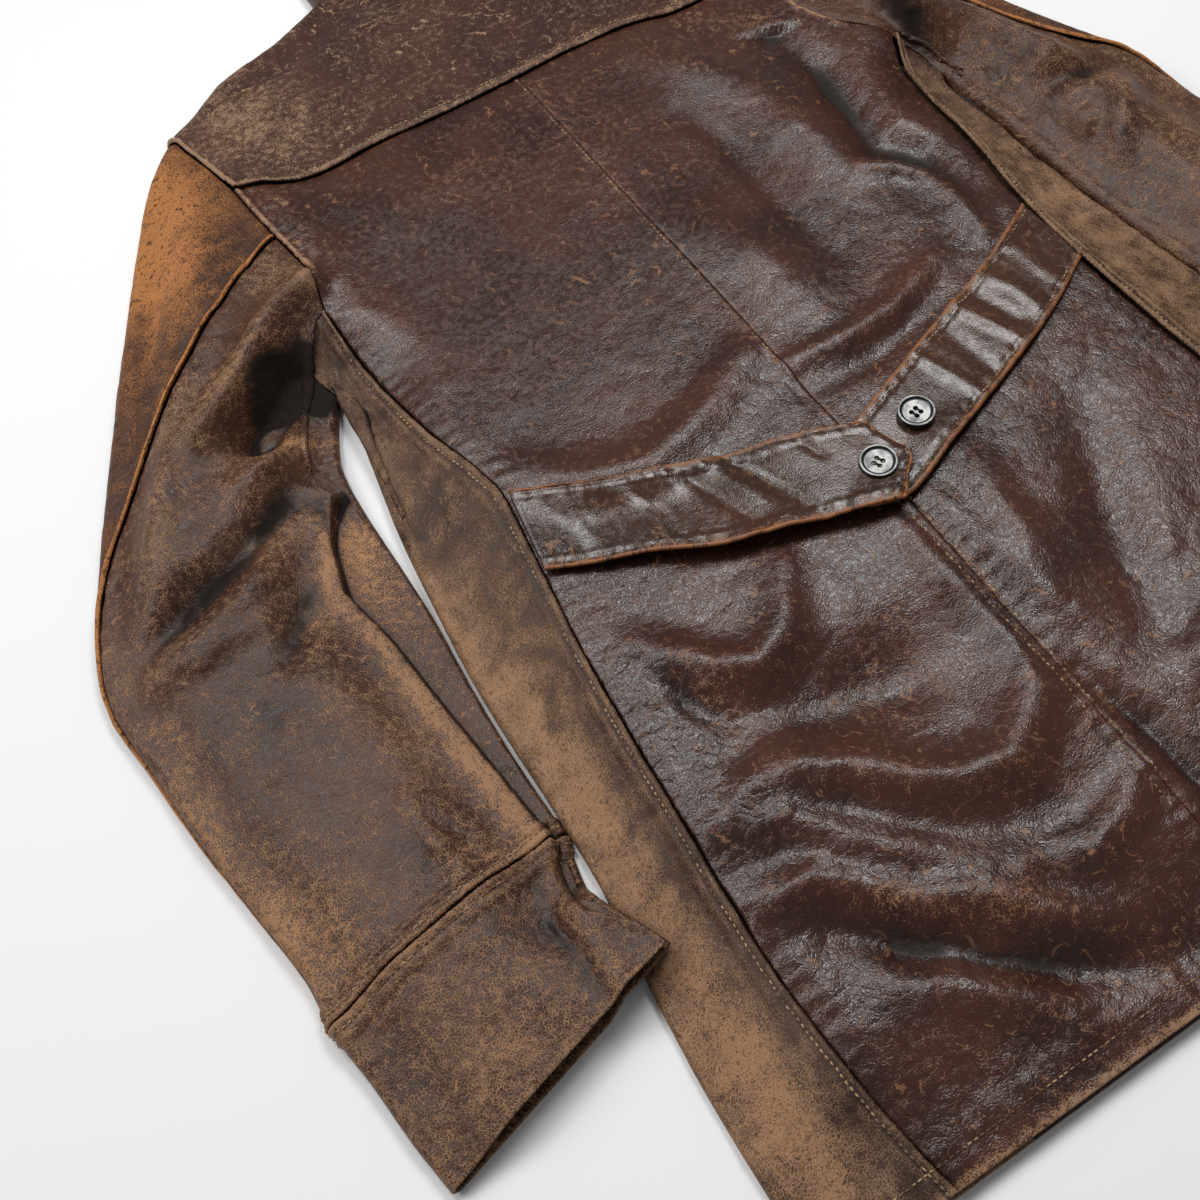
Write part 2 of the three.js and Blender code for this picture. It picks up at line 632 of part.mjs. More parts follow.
function makeBacks() {
  const leftGrid = makeBack(left, leftSeams);
  const rightGrid = makeBack(right, rightSeams);
  addVent(leftGrid, rightGrid);
  wall('back_left', leather.back, leftGrid);
  wall('back_right', leather.back, rightGrid);
}

// A side panel: from the back seam, round the fold of the body, to the front seam

function makeSide(half, lists) {
  const centres = lists.bodyFrames.map((frame) => frame.centre);
  const hemTop = [lists.hem[HALF_COLS], centres[SEAM_ROWS]];
  const south = [0, 1, 2, 3].map((j) => mix(hemTop[0], hemTop[1], j / SIDE_ARM_COLS));
  const plan = patch(lists.sideSeam, centres, lists.sideArm, south);
  const [seamTop, seamEnd] = half.frontSeam;
  const grid = plan.map((row, i) => {
    const frame = lists.bodyFrames[i];
    const points = row.map((at, j) => (
      j === SIDE_ARM_COLS ? onRoll(frame, 0) : onTop(bodyHeight, at, i > 0 && j === 0 ? LAP : 0)
    ));
    for (let turn = 1; turn <= ROLL_COLS; turn += 1) points.push(onRoll(frame, turn / ROLL_COLS));
    const seam = mix(seamTop, seamEnd, i / SEAM_ROWS);
    points.push(onFloor(mix(frame.centre, seam, 0.5)), onFloor(seam));
    return points;
  });
  wall(half.side < 0 ? 'side_left' : 'side_right', leather.side, grid);
}

// The fronts lie flat, with the left one under the right and its row of buttons below

function frontHeight(side, x, y) {
  const across = soft((58 - side * x) / 26) * soft((58 + side * x) / 26);
  const along = soft((78 - y) / 36) * soft((y + 520) / 70);
  const over = side > 0 ? FRONT_LAP * soft((58 - x) / 26) * (1 + 0.6 * soft((y - 20) / 40)) : 0;
  return PLACKET * across * along + over;
}

function onFront(side, [x, y]) {
  const height = (px, py) => frontHeight(side, px, py);
  return { p: new THREE.Vector3(x, y, height(x, y)), n: upward(height, x, y, 4).negate() };
}

function makeFront(half, lists) {
  const mirror = ([x, y]) => [half.side < 0 ? x : -x, y];
  const top = FRONT_TOP_LEFT.map(mirror);
  const hem = FRONT_HEM_LEFT.map(mirror);
  const arm = lists.frontArm.slice().reverse();
  const seamCells = 9;
  const west = arm.slice();
  for (let i = 1; i <= seamCells; i += 1) west.push(mix(half.frontSeam[0], half.frontSeam[1], i / seamCells));
  const edgeX = top[top.length - 1][0];
  const ys = [80, 64, 46, 10, -60, -130, -200, -270, -340, -405, -450, -485, -520, -677];
  const east = ys.map((y) => [edgeX, y]);
  const plan = patch(west, east, top, hem);
  const grid = plan.map((row) => row.map((at) => onFront(half.side, at)));
  wall(half.side < 0 ? 'front_left' : 'front_right', leather.front, grid);
}

// The collar stands turned up and lies flat above the neck

function makeCollar(neck) {
  const leftCorner = leftSeams.shoulderFrames[0];
  const rightCorner = rightSeams.shoulderFrames[0];
  const rows = 3;
  const tipTop = 168;
  const [edgeX, edgeY, edgeRadius] = [60, 226, 4];
  const topEdge = spaced([[-edgeX, edgeY], [0, edgeY - 4], [edgeX, edgeY]], NECK_COLS);
  const bottomLeft = FRONT_TOP_LEFT.slice(3, 7).reverse();
  const bottomRight = bottomLeft.map(([x, y]) => [-x, y]).reverse();
  const endsLeft = bottomLeft.map((p, j) => mix([-20, tipTop], [-edgeX, edgeY], j / 3));
  const endsRight = endsLeft.map(([x, y]) => [-x, y]).reverse();
  const sideFrame = (side) => ({ out: [side, 0], r: edgeRadius, centre: [side * edgeX, edgeY] });
  // the collar leaves the shoulder at an angle, so it faces its own way there
  const corner = (frame, side, turn) => (
    { p: onRoll(frame, turn).p, n: onRoll({ ...frame, out: [side, 0] }, turn).n }
  );
  const grid = [];
  for (let i = 0; i <= rows; i += 1) {
    const t = i / rows;
    const blend = (a, b) => ({ p: a.p.clone().lerp(b.p, t), n: a.n.clone().lerp(b.n, t).normalize() });
    const row = [];
    bottomLeft.forEach((at, j) => row.push(blend(onFront(-1, at), onFloor(endsLeft[j]))));
    for (let turn = ROLL_COLS; turn >= 0; turn -= 1) {
      row.push(blend(corner(leftCorner, -1, turn / ROLL_COLS), onRoll(sideFrame(-1), turn / ROLL_COLS)));
    }
    neck.slice(1, -1).forEach((at, j) => {
      const upper = { p: new THREE.Vector3(...topEdge[j + 1], 2 * edgeRadius), n: new THREE.Vector3(0, 0, 1) };
      row.push(blend(onTop(bodyHeight, at), upper));
    });
    for (let turn = 0; turn <= ROLL_COLS; turn += 1) {
      row.push(blend(corner(rightCorner, 1, turn / ROLL_COLS), onRoll(sideFrame(1), turn / ROLL_COLS)));
    }
    bottomRight.forEach((at, j) => row.push(blend(onFront(1, at), onFloor(endsRight[j]))));
    grid.push(row);
  }
  wall('collar', leather.collar, grid);
}

// Sleeves are rings: a soft top layer, an inner roll, a flat lower layer, an outer roll

function riseUnderCuff(half, x, y) {
  if (!half.cuffRise) return 0;
  const { x: from, y: start, height, reach } = half.cuffRise;
  return height * soft((x - from) / reach) * soft((start - y) / 12);
}

function ringPlan(half, lists, k, s, layer) {
  const inSleeve = k <= SLEEVE_STEPS;
  const t = inSleeve ? k / SLEEVE_STEPS : (k - SLEEVE_STEPS) / CUFF_STEPS;
  const k0 = inSleeve ? 0 : SLEEVE_STEPS;
  const centre = (which, step) => rimFrame(half, which, step).centre;
  const [o, i] = [centre('outer', k), centre('inner', k)];
  const [o0, i0] = [centre('outer', k0), centre('inner', k0)];
  let start = mix(o0, i0, s);
  if (inSleeve && layer === 'top') start = listPoint(lists.armTop, s * TOP_CELLS);
  if (inSleeve && layer === 'bottom') start = listPoint(lists.armBottom, (1 - s) * (lists.armBottom.length - 1));
  // the curve of the armhole fades out along the sleeve
  const fade = (1 - t) ** half.armFade;
  const across = mix(o, i, s);
  const chord = mix(o0, i0, s);
  return across.map((value, axis) => value + fade * (start[axis] - chord[axis]));
}

function stripAt(half, k) {
  if (!half.strip) return 1;
  return listPoint(half.strip.map((value) => [value]), k)[0];
}

function ringTop(half, lists, k, s) {
  const [x, y] = ringPlan(half, lists, k, s, 'top');
  const fromArm = soft(k);
  let z = bodyHeight(x, y) * (1 - fromArm) + sleeveHeight(half, x, y) * fromArm;
  const edge = stripAt(half, k);
  if (edge < 1) z += (STRIP - z) * soft((s - edge + 0.012) / 0.035);
  return new THREE.Vector3(x, y, z + riseUnderCuff(half, x, y));
}

function ringSample(half, lists, k, position) {
  const psi = ((position % RING) + RING) % RING;
  if (psi > 0 && psi < TOP_CELLS) {
    const s = psi / TOP_CELLS;
    const p = ringTop(half, lists, k, s);
    if (k === 0) return { p, n: upward(bodyHeight, p.x, p.y) };
    const lastStep = SLEEVE_STEPS + CUFF_STEPS;
    const [k0, k1] = [Math.max(0, k - 0.12), Math.min(lastStep, k + 0.12)];
    const [s0, s1] = [Math.max(0, s - 0.008), Math.min(1, s + 0.008)];
    const along = ringTop(half, lists, k1, s).sub(ringTop(half, lists, k0, s));
    const across = ringTop(half, lists, k, s1).sub(ringTop(half, lists, k, s0));
    return { p, n: across.cross(along).normalize().multiplyScalar(half.side) };
  }
  if (psi >= TOP_CELLS && psi < INNER_END) {
    const frame = rimFrame(half, 'inner', k);
    return onRoll(frame, (psi - TOP_CELLS) / ROLL_COLS, riseUnderCuff(half, ...frame.centre));
  }
  if (psi >= INNER_END && psi <= BOTTOM_END) {
    const s = 1 - (psi - INNER_END) / (BOTTOM_END - INNER_END);
    const [x, y] = ringPlan(half, lists, k, s, 'bottom');
    const rise = (px, py) => riseUnderCuff(half, px, py);
    return { p: new THREE.Vector3(x, y, rise(x, y)), n: upward(rise, x, y).negate() };
  }
  const turn = psi === 0 ? 0 : (RING - psi) / ROLL_COLS;
  return onRoll(rimFrame(half, 'outer', k), turn);
}

// Ring positions of the columns of one sleeve panel at step k
function upperColumns(half, k) {
  const seam = RING + listPoint(half.backSeam.map((v) => [v]), Math.min(k, SLEEVE_STEPS))[0];
  const count = RING + BACK_SEAM - FRONT_SEAM;
  return Array.from({ length: count + 1 }, (_, j) => FRONT_SEAM + ((seam - FRONT_SEAM) * j) / count);
}

function underColumns(half, k) {
  const seam = listPoint(half.backSeam.map((v) => [v]), Math.min(k, SLEEVE_STEPS))[0];
  const topCells = TOP_CELLS - BACK_SEAM;
  const even = Array.from({ length: topCells + 1 }, (_, j) => seam + ((TOP_CELLS - seam) * j) / topCells);
  const edge = stripAt(half, k);
  const share = half.strip ? soft((k - 4) / 2) : 0;
  const upperEnd = (edge - 0.02) * TOP_CELLS;
  const lowerEnd = (edge + 0.03) * TOP_CELLS;
  const fitted = even.map((_, j) => {
    if (j === topCells) return TOP_CELLS;
    if (j === topCells - 1) return Math.min(lowerEnd, TOP_CELLS - 0.15);
    return seam + ((upperEnd - seam) * j) / (topCells - 2);
  });
  const columns = even.map((value, j) => value + (fitted[j] - value) * share);
  for (let psi = TOP_CELLS + 1; psi <= FRONT_SEAM; psi += 1) columns.push(psi);
  return columns;
}

function makeSleeve(half, lists) {
  const side = half.side < 0 ? 'left' : 'right';
  const steps = Array.from({ length: SLEEVE_ROWS + 1 }, (_, i) => (SLEEVE_STEPS * i) / SLEEVE_ROWS);
  const panel = (columns) => steps.map((k) => columns(half, k).map((psi) => ringSample(half, lists, k, psi)));
  wall(`sleeve_top_${side}`, leather.sleeveTop, panel(upperColumns));
  wall(`sleeve_under_${side}`, leather.sleeveUnder, panel(underColumns));
}

function makeCuff(half, lists) {
  const side = half.side < 0 ? 'left' : 'right';
  const grid = [];
  for (let i = 0; i <= CUFF_ROWS; i += 1) {
    const k = SLEEVE_STEPS + (CUFF_STEPS * i) / CUFF_ROWS;
    const columns = [...underColumns(half, SLEEVE_STEPS), ...upperColumns(half, SLEEVE_STEPS).slice(1, -1)];
    grid.push(columns.map((psi) => ringSample(half, lists, k, psi)));
  }
  wall(`cuff_${side}`, leather.cuff, grid, { closed: true });
}

// The belt halves span the crests of the back, so they take the highest point nearby

function crestHeight(x, y) {
  let z = bodyHeight(x, y);
  for (const radius of [6, 12]) {
    for (let k = 0; k < 8; k += 1) {
      const angle = (Math.PI * k) / 4;
      z = Math.max(z, bodyHeight(x + radius * Math.cos(angle), y + radius * Math.sin(angle)));
    }
  }
  return z;
}

function makeBelt(name, top, bottom, end, lift) {
  const west = [0, 1, 2, 3, 4].map((i) => mix(top[0], bottom[0], i / BELT_ROWS));
  const plan = patch(west, end, spaced(top, BELT_COLS), spaced(bottom, BELT_COLS));
  const height = (x, y) => crestHeight(x, y) + LAY_GAP + BELT_WALL;
  const grid = plan.map((row, i) => row.map(([x, y], j) => {
    const raise = lift(j / BELT_COLS, i / BELT_ROWS);
    return { p: new THREE.Vector3(x, y, height(x, y) + raise), n: upward(height, x, y, 8) };
  }));
  return wall(name, leather.belt, grid, { thickness: BELT_WALL });
}

function makeBelts() {
  const rightLift = (u) => 2.5 * Math.sin(Math.PI * Math.min(u, 0.5)) * (1 - 0.6 * soft((u - 0.7) / 0.3));
  const over = BELT_WALL + 1.4;
  const leftLift = (u, v) => {
    const arch = Math.sin(Math.PI * clamp01(u / 0.95)) ** 2;
    return arch * (1.5 + 5 * v) + over * soft((u - 0.6) / 0.2) + (1 + v) * soft((u - 0.75) / 0.15);
  };
  const rightEnd = spaced([BELT_RIGHT.top[5], BELT_RIGHT.bottom[6]], BELT_ROWS);
  const under = makeBelt('belt_right', BELT_RIGHT.top, BELT_RIGHT.bottom, rightEnd, rightLift);
  const upper = makeBelt('belt_left', BELT_LEFT.top, BELT_LEFT.bottom, BELT_LEFT.end, leftLift);
  return { button_belt: upper, button_spare: under };
}

// Buttons: a dished face inside a rounded rim, on a narrower foot

function buttonProfile(dished) {
  const r = BUTTON_RADIUS;
  const h = BUTTON_HEIGHT;
  const sides = [[0, 0], [r - 3, 0], [r, 2.4], [r - 0.5, h - 0.3]];
  const face = [[r - 1.2, h], [r - 1.9, h - 0.4], [r - 2.6, h - 1.5], [0, h - 2.1]];
  return dished ? [...sides, ...face] : [...sides, [0, h]];
}

function solidOf(geometry) {
  const index = Array.from(geometry.index.array);
  const position = geometry.attributes.position;
  const places = new Map();
  const remap = [];
  const vertices = [];
  for (let i = 0; i < position.count; i += 1) {
    const v = [position.getX(i), position.getY(i), position.getZ(i)];
    const key = v.map((value) => Math.round(value * 1e4)).join(',');
    if (!places.has(key)) {
      places.set(key, vertices.length / 3);
      vertices.push(...v);
    }
    remap.push(places.get(key));
  }
  const triangles = [];
  for (let i = 0; i < index.length; i += 3) {
    const [a, b, c] = [remap[index[i]], remap[index[i + 1]], remap[index[i + 2]]];
    if (a !== b && b !== c && c !== a) triangles.push(a, b, c);
  }
  return new wasm.Manifold(new wasm.Mesh({
    numProp: 3, vertProperties: new Float32Array(vertices), triVerts: new Uint32Array(triangles),
  }));
}

function geometryOf(solid) {
  const mesh = solid.getMesh();
  const geometry = new THREE.BufferGeometry();
  geometry.setAttribute('position', new THREE.Float32BufferAttribute(Array.from(mesh.vertProperties), 3));
  geometry.setIndex(Array.from(mesh.triVerts));
  geometry.computeVertexNormals();
  return geometry;
}

function buttonGeometry(sectors, withHoles) {
  const profile = buttonProfile(withHoles).map(([x, y]) => new THREE.Vector2(x, y));
  const turned = new THREE.LatheGeometry(profile, sectors).rotateX(Math.PI / 2);
  let solid = solidOf(turned);
  if (withHoles) {
    for (const [sx, sy] of [[1, 1], [1, -1], [-1, 1], [-1, -1]]) {
      const drill = new THREE.CylinderGeometry(1.2, 1.2, 12, 6).rotateX(Math.PI / 2);
      drill.translate(sx * 2, sy * 2, 2);
      solid = solid.subtract(solidOf(drill));
    }
  }
  return geometryOf(solid);
}

function addButton(name, geometry, x, y, z) {
  const mesh = new THREE.Mesh(geometry, finish('#8d8c88', 0.35));
  mesh.name = name;
  mesh.position.set(x, y, z);
  coat.add(mesh);
  return mesh;
}

// Height of a finished wall under a round foot
function restingHeight(mesh, x, y, radius) {
  mesh.updateMatrixWorld(true);
  const caster = new THREE.Raycaster();
  let z = 0;
  for (const r of [0, radius * 0.5, radius]) {
    for (let k = 0; k < 12; k += 1) {
      const angle = (Math.PI * k) / 6;
      const from = new THREE.Vector3(x + r * Math.cos(angle), y + r * Math.sin(angle), 200);
      caster.set(from, new THREE.Vector3(0, 0, -1));
      const hits = caster.intersectObject(mesh);
      if (hits.length) z = Math.max(z, hits[0].point.z);
    }
  }
  return z;
}

function makeButtons(belts) {
  const holed = buttonGeometry(20, true);
  for (const [name, [x, y]] of Object.entries(BUTTON_PLACES)) {
    addButton(name, holed, x, y, restingHeight(belts[name], x, y, BUTTON_RADIUS) + 0.3);
  }
  const plain = buttonGeometry(12, false);
  FRONT_BUTTON_YS.forEach((y, i) => {
    const button = addButton(`button_front_${i + 1}`, plain, 0, y, BUTTON_HEIGHT);
    button.rotation.x = Math.PI;
  });
}

const neckLine = makeYoke();
makeBacks();
makeSide(left, leftSeams);
makeSide(right, rightSeams);
makeFront(left, leftSeams);
makeFront(right, rightSeams);
makeCollar(neckLine);
makeSleeve(left, leftSeams);
makeSleeve(right, rightSeams);
makeCuff(left, leftSeams);
makeCuff(right, rightSeams);
makeButtons(makeBelts());

// The origin is under the middle of the coat, on the surface it lies on
const box = new THREE.Box3().setFromObject(coat);
coat.position.set(-(box.min.x + box.max.x) / 2, -(box.min.y + box.max.y) / 2, -box.min.z);

export default coat;
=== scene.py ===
# A worn leather coat laid on its front, with the half-belted back upwards.
# Shapes are worked out in millimetres in the coat's own frame, with X across the back,
# Y towards the collar and Z up from the floor. Meshes are made from them in metres.

import math

import bpy
import numpy as np
from mathutils import Matrix, Vector


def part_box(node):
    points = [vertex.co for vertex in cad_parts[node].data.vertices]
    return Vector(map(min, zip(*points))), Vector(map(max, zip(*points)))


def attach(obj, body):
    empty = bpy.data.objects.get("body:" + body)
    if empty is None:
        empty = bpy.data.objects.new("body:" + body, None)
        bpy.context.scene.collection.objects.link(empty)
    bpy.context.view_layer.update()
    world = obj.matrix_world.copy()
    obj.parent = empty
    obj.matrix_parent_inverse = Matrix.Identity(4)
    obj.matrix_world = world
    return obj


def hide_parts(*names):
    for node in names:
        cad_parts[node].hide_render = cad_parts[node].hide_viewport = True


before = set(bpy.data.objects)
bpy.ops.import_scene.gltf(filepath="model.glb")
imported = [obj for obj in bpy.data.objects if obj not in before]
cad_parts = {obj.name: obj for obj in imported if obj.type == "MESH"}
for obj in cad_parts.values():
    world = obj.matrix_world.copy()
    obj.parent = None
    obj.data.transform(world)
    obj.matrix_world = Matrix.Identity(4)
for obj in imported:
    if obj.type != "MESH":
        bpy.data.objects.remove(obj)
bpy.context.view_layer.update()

# Driving dimensions
LEATHER = 1.6
BELT_LEATHER = 2.6
BODY_FALL = 50
SLEEVE_FALL = 38
STRIP = 5.6
PLACKET_HEIGHT = 5.3
FRONT_LAP = 2.7
LAY_GAP = 0.5
CREST_REACH = (6, 12)
BUTTON_RADIUS = 10.2
BUTTON_HEIGHT = 4.8
BUTTON_PLACES = {"button_belt": (-4, -374), "button_spare": (33, -359)}
FRONT_BUTTON_YS = (28, -80, -190, -300, -405)
BUTTON_TURNS = {"button_belt": -64, "button_spare": -75}
BUTTONHOLE = (-26, -367.5, -15.5, -371.5)

# Rows of stitches, as distances from the edge of a piece
EDGE_STITCH = 5.4
HEM_STITCH = 13
BELT_STITCH = 5
YOKE_ARM_STITCH = 4.6
CENTRE_STITCH = 5
CENTRE_STITCH_RIGHT = 1.4
CENTRE_STITCH_TOP = 2.4

# The overlap of the fronts under the back, across and along the coat
PLACKET_EDGE = 58
PLACKET_SLOPE = 26
PLACKET_TOP = 78
PLACKET_END = -520

# Ring positions of a sleeve: top layer, inner roll, lower layer, outer roll
YOKE_PART = 4
BACK_PART = 7
SIDE_PART = 3
TOP_PARTS = YOKE_PART + BACK_PART + SIDE_PART
ROLL_PARTS = 4
INNER_END = TOP_PARTS + ROLL_PARTS
BOTTOM_END = INNER_END + 6
RING = BOTTOM_END + ROLL_PARTS
FRONT_SEAM = BOTTOM_END - 2
BACK_SEAM = YOKE_PART + 3
SLEEVE_STEPS = 12
CUFF_STEPS = 3

# Cells of the fine grids
HALF_COLS = 76
SHOULDER_COLS = 57
NECK_COLS = 38
YOKE_ROWS = 40
ARM_ROWS = 46
SEAM_ROWS = 236
SIDE_COLS = 26
ROLL_COLS = 14
SLEEVE_ROWS = 176
CUFF_ROWS = 44
ARM_FINE = 12
UNDER_TOPS = 84
FOLD_COLUMN = 57
STRIP_COLUMN = 70

# Outline points are [x, y, height of the rolled edge]
LEFT = {
    "side": -1,
    "outer": [
        [-66, 161, 14], [-84, 153, 15], [-110, 143, 16], [-150, 133, 17], [-183, 114, 18], [-206, 101, 18],
        [-236, 68, 20], [-268, 17, 20], [-305, -45, 20], [-338, -103, 20], [-369, -158, 18], [-391, -203, 16],
        [-404, -247, 15], [-401, -293, 15], [-397, -342, 15], [-391, -388, 14], [-385, -432, 14],
        [-386, -461, 14], [-382, -495, 13], [-379, -528, 12], [-375, -555, 11],
    ],
    "shoulder": 5,
    "inner": [
        [-262, -677, 8], [-261, -640, 8], [-258, -580, 8], [-252, -525, 8], [-245, -475, 8],
        [-242.5, -430, 10], [-241.5, -385, 11], [-239.5, -345, 12], [-234.5, -298, 13], [-228, -249, 13],
        [-219.5, -205, 13],
        [-212.5, -173, 12], [-208, -156, 11], [-211, -145, 11], [-217.5, -155, 11],
        [-224.5, -168, 10], [-230.5, -182, 9], [-233.3, -198, 8], [-234.5, -216, 6.5], [-235, -237, 6],
        [-235.5, -264, STRIP], [-236.7, -298, STRIP], [-240.7, -340, STRIP], [-243, -380, STRIP],
        [-243.8, -415, STRIP], [-244.4, -441, STRIP], [-250, -475, 6], [-240, -501, 6.5], [-233, -518, 7],
    ],
    "underarm": 13,
    "arm_yoke": [[-206, 101], [-197, 62], [-191, 24]],
    "arm_back": [[-191, 24], [-190, 0], [-187, -30], [-184, -60], [-185, -80], [-190, -97]],
    "arm_side": [[-190, -97], [-205, -106], [-215, -122], [-211, -145]],
    "arm_front": [[-198, -104], [-176, -72], [-171, -30], [-176, 18], [-196, 66]],
    "side_seam": [
        [-190, -97], [-189, -128], [-186, -165], [-182, -205], [-174, -245], [-172, -270], [-179, -318],
        [-187, -370], [-193, -425], [-197, -475], [-201, -520], [-203, -570], [-201, -620], [-197, -652],
        [-193, -676],
    ],
    "yoke_seam": [[0, -2], [-50, -1], [-100, 2], [-128, 1], [-148, 3], [-162, 9], [-176, 19], [-191, 24]],
    "hem": [[0, -677], [-60, -676], [-114, -676], [-193, -676]],
    "front_seam": [[-198, -104], [-150, -677]],
    # ring positions of the back seam of the sleeve, one for each step along it
    "back_seam": [BACK_SEAM, 6.5, 5.5, 3.8, 1.8, 0.2, -1.0, -1.7, -2, -2.2, -2.4, -2.4, -2.4],
    # how far across the top layer the upper fold ends, beyond which the lower layer lies flat
    "strip": [1, 1, 1, 1, 1, 0.91, 0.83, 0.79, 0.845, 0.89, 0.925, 0.945, 0.965, 0.93, 1, 1],
    "arm_fade": 2,
    # x, y, height and reach of the cuff where it lies on the side panel
    "cuff_rise": [-276, -468, 11.2, 14],
}
RIGHT = {
    "side": 1,
    "outer": [
        [66, 161, 14], [84, 153, 15], [110, 143, 16], [150, 133, 17], [183, 116, 18], [205, 101, 18],
        [228, 64, 22], [247, 14, 24], [264, -45, 26], [280, -105, 26], [300, -162, 26], [319, -208, 24],
        [326, -252, 20], [335, -300, 18], [347, -345, 16], [361, -390, 15], [374, -432, 14],
        [384, -464, 14], [390, -497, 13], [394, -530, 12], [396, -557, 11],
    ],
    "shoulder": 5,
    "inner": [
        [262, -677, 8], [260, -640, 8], [256, -580, 9], [251, -520, 10], [246, -465, 12], [240, -405, 13],
        [234, -352, 13], [229, -312, 13], [226, -280, 13], [224, -250, 13], [222.5, -205, 13],
        [221, -180, 12], [220.2, -163, 12], [221.8, -153, 12], [223, -163, 12],
        [223.8, -180, 13], [224, -197, 14], [224.3, -214, 14], [224.9, -232, 14], [225.8, -254, 13],
        [227.7, -280, 12], [230.5, -310, 12], [234.5, -342, 12], [239, -378, 11],
        [243.5, -412, 10], [247, -440, 10], [250.5, -470, 10], [254, -500, 9], [257, -527, 8],
    ],
    "underarm": 13,
    "arm_yoke": [[205, 101], [196, 60], [186, 12]],
    "arm_back": [[186, 12], [179, -14], [177, -40], [180, -62], [188, -84], [201, -102], [211, -113]],
    "arm_side": [[211, -113], [216, -124], [220, -137], [221.8, -153]],
    "arm_front": [[210, -106], [184, -72], [174, -30], [178, 18], [196, 66]],
    "side_seam": [
        [211, -113], [201, -136], [197, -165], [194, -198], [188, -232], [182, -264], [178, -298],
        [178, -340], [180, -400], [184, -450], [190, -505], [196, -565], [198, -620], [196, -652],
        [193, -676],
    ],
    "yoke_seam": [[0, -2], [25, -2], [50, -3], [78, -6], [108, -10], [135, -12], [160, -4], [186, 12]],
    "hem": [[0, -677], [60, -677], [114, -676], [193, -676]],
    "front_seam": [[210, -106], [150, -677]],
    "back_seam": [BACK_SEAM, 6.6, 5.6, 4.2, 2.6, 1, -0.6, -1.6, -2.2, -2.4, -2.4, -2.4, -2.4],
    "strip": None,
    "arm_fade": 5,
    "cuff_rise": None,
}
NECK = [[-40, 147], [0, 140], [40, 147]]
FRONT_TOP = [
    [-196, 66], [-152, 85], [-108, 104], [-62, 124], [-53, 108], [-40, 94], [-26, 85], [-10, 81], [25, 80],
]
FRONT_HEM = [
    [-150, -677], [-125, -677], [-100, -677], [-76, -677], [-56, -677], [-41, -677], [-27, -677],
    [-10, -677], [25, -677],
]
BELT_LEFT = {
    "top": [[-169.5, -270], [-152, -281], [-127, -296], [-82, -314], [-34, -329], [8, -347]],
    "bottom": [[-179, -323], [-155, -336], [-130, -348], [-99, -367], [-69, -377], [-34, -389], [-5, -400]],
    "end": [[8, -347], [11, -363], [15.5, -378], [5, -389], [-5, -400]],
}
BELT_RIGHT = {
    "top": [[176.5, -275], [150, -289], [118, -302], [77, -316], [30, -333], [-18, -349]],
    "bottom": [[177, -326], [150, -341], [121, -354], [80, -369], [43, -382], [2, -396], [-22, -390]],
    "end": [[-18, -349], [-22, -390]],
}

# Folds across the belt halves, as height, reach and line
BELT_FOLDS = {
    "belt_left": [
        [1.3, 4, [[-66, -318], [-58, -342], [-44, -384]]],
        [1.0, 3.5, [[-92, -312], [-84, -338], [-74, -372]]],
        [0.9, 4, [[-118, -304], [-112, -330], [-112, -352]]],
        [-1.0, 5, [[-78, -318], [-68, -345], [-60, -376]]],
        [0.8, 3, [[-30, -334], [-24, -352]]], [-0.9, 5, [[-150, -288], [-146, -334]]],
    ],
    "belt_right": [
        [1.4, 5, [[96, -312], [106, -335], [112, -352]]], [1.2, 4, [[122, -303], [132, -322], [134, -345]]],
        [-1.2, 6, [[108, -308], [118, -340]]], [1.0, 4, [[58, -326], [66, -350], [70, -368]]],
        [1.0, 5, [[150, -294], [154, -332]]], [-1.0, 6, [[80, -320], [86, -358]]],
    ],
}

# Height of the upper layers along the coat, as [y, height]
LEVELS = [[-677, 11], [-655, 13], [-600, 20], [-430, 27], [-280, 28], [0, 28], [90, 24], [161, 17]]

# Broad swells, as [x, y, reach across, reach along, height]
SWELLS = [
    [-262, -30, 52, 95, 12], [-335, -175, 45, 60, 6], [262, -130, 38, 110, 17],
    [150, -12, 42, 45, -11], [30, -215, 26, 60, 4], [-110, -45, 45, 45, 3], [-60, -465, 55, 28, -6],
    [60, -560, 60, 60, 4], [-238, -508, 20, 22, -9], [320, -400, 40, 70, 2],
]

# How much of a fold's height is left at its ends
FOLD_ENDS = 0.45

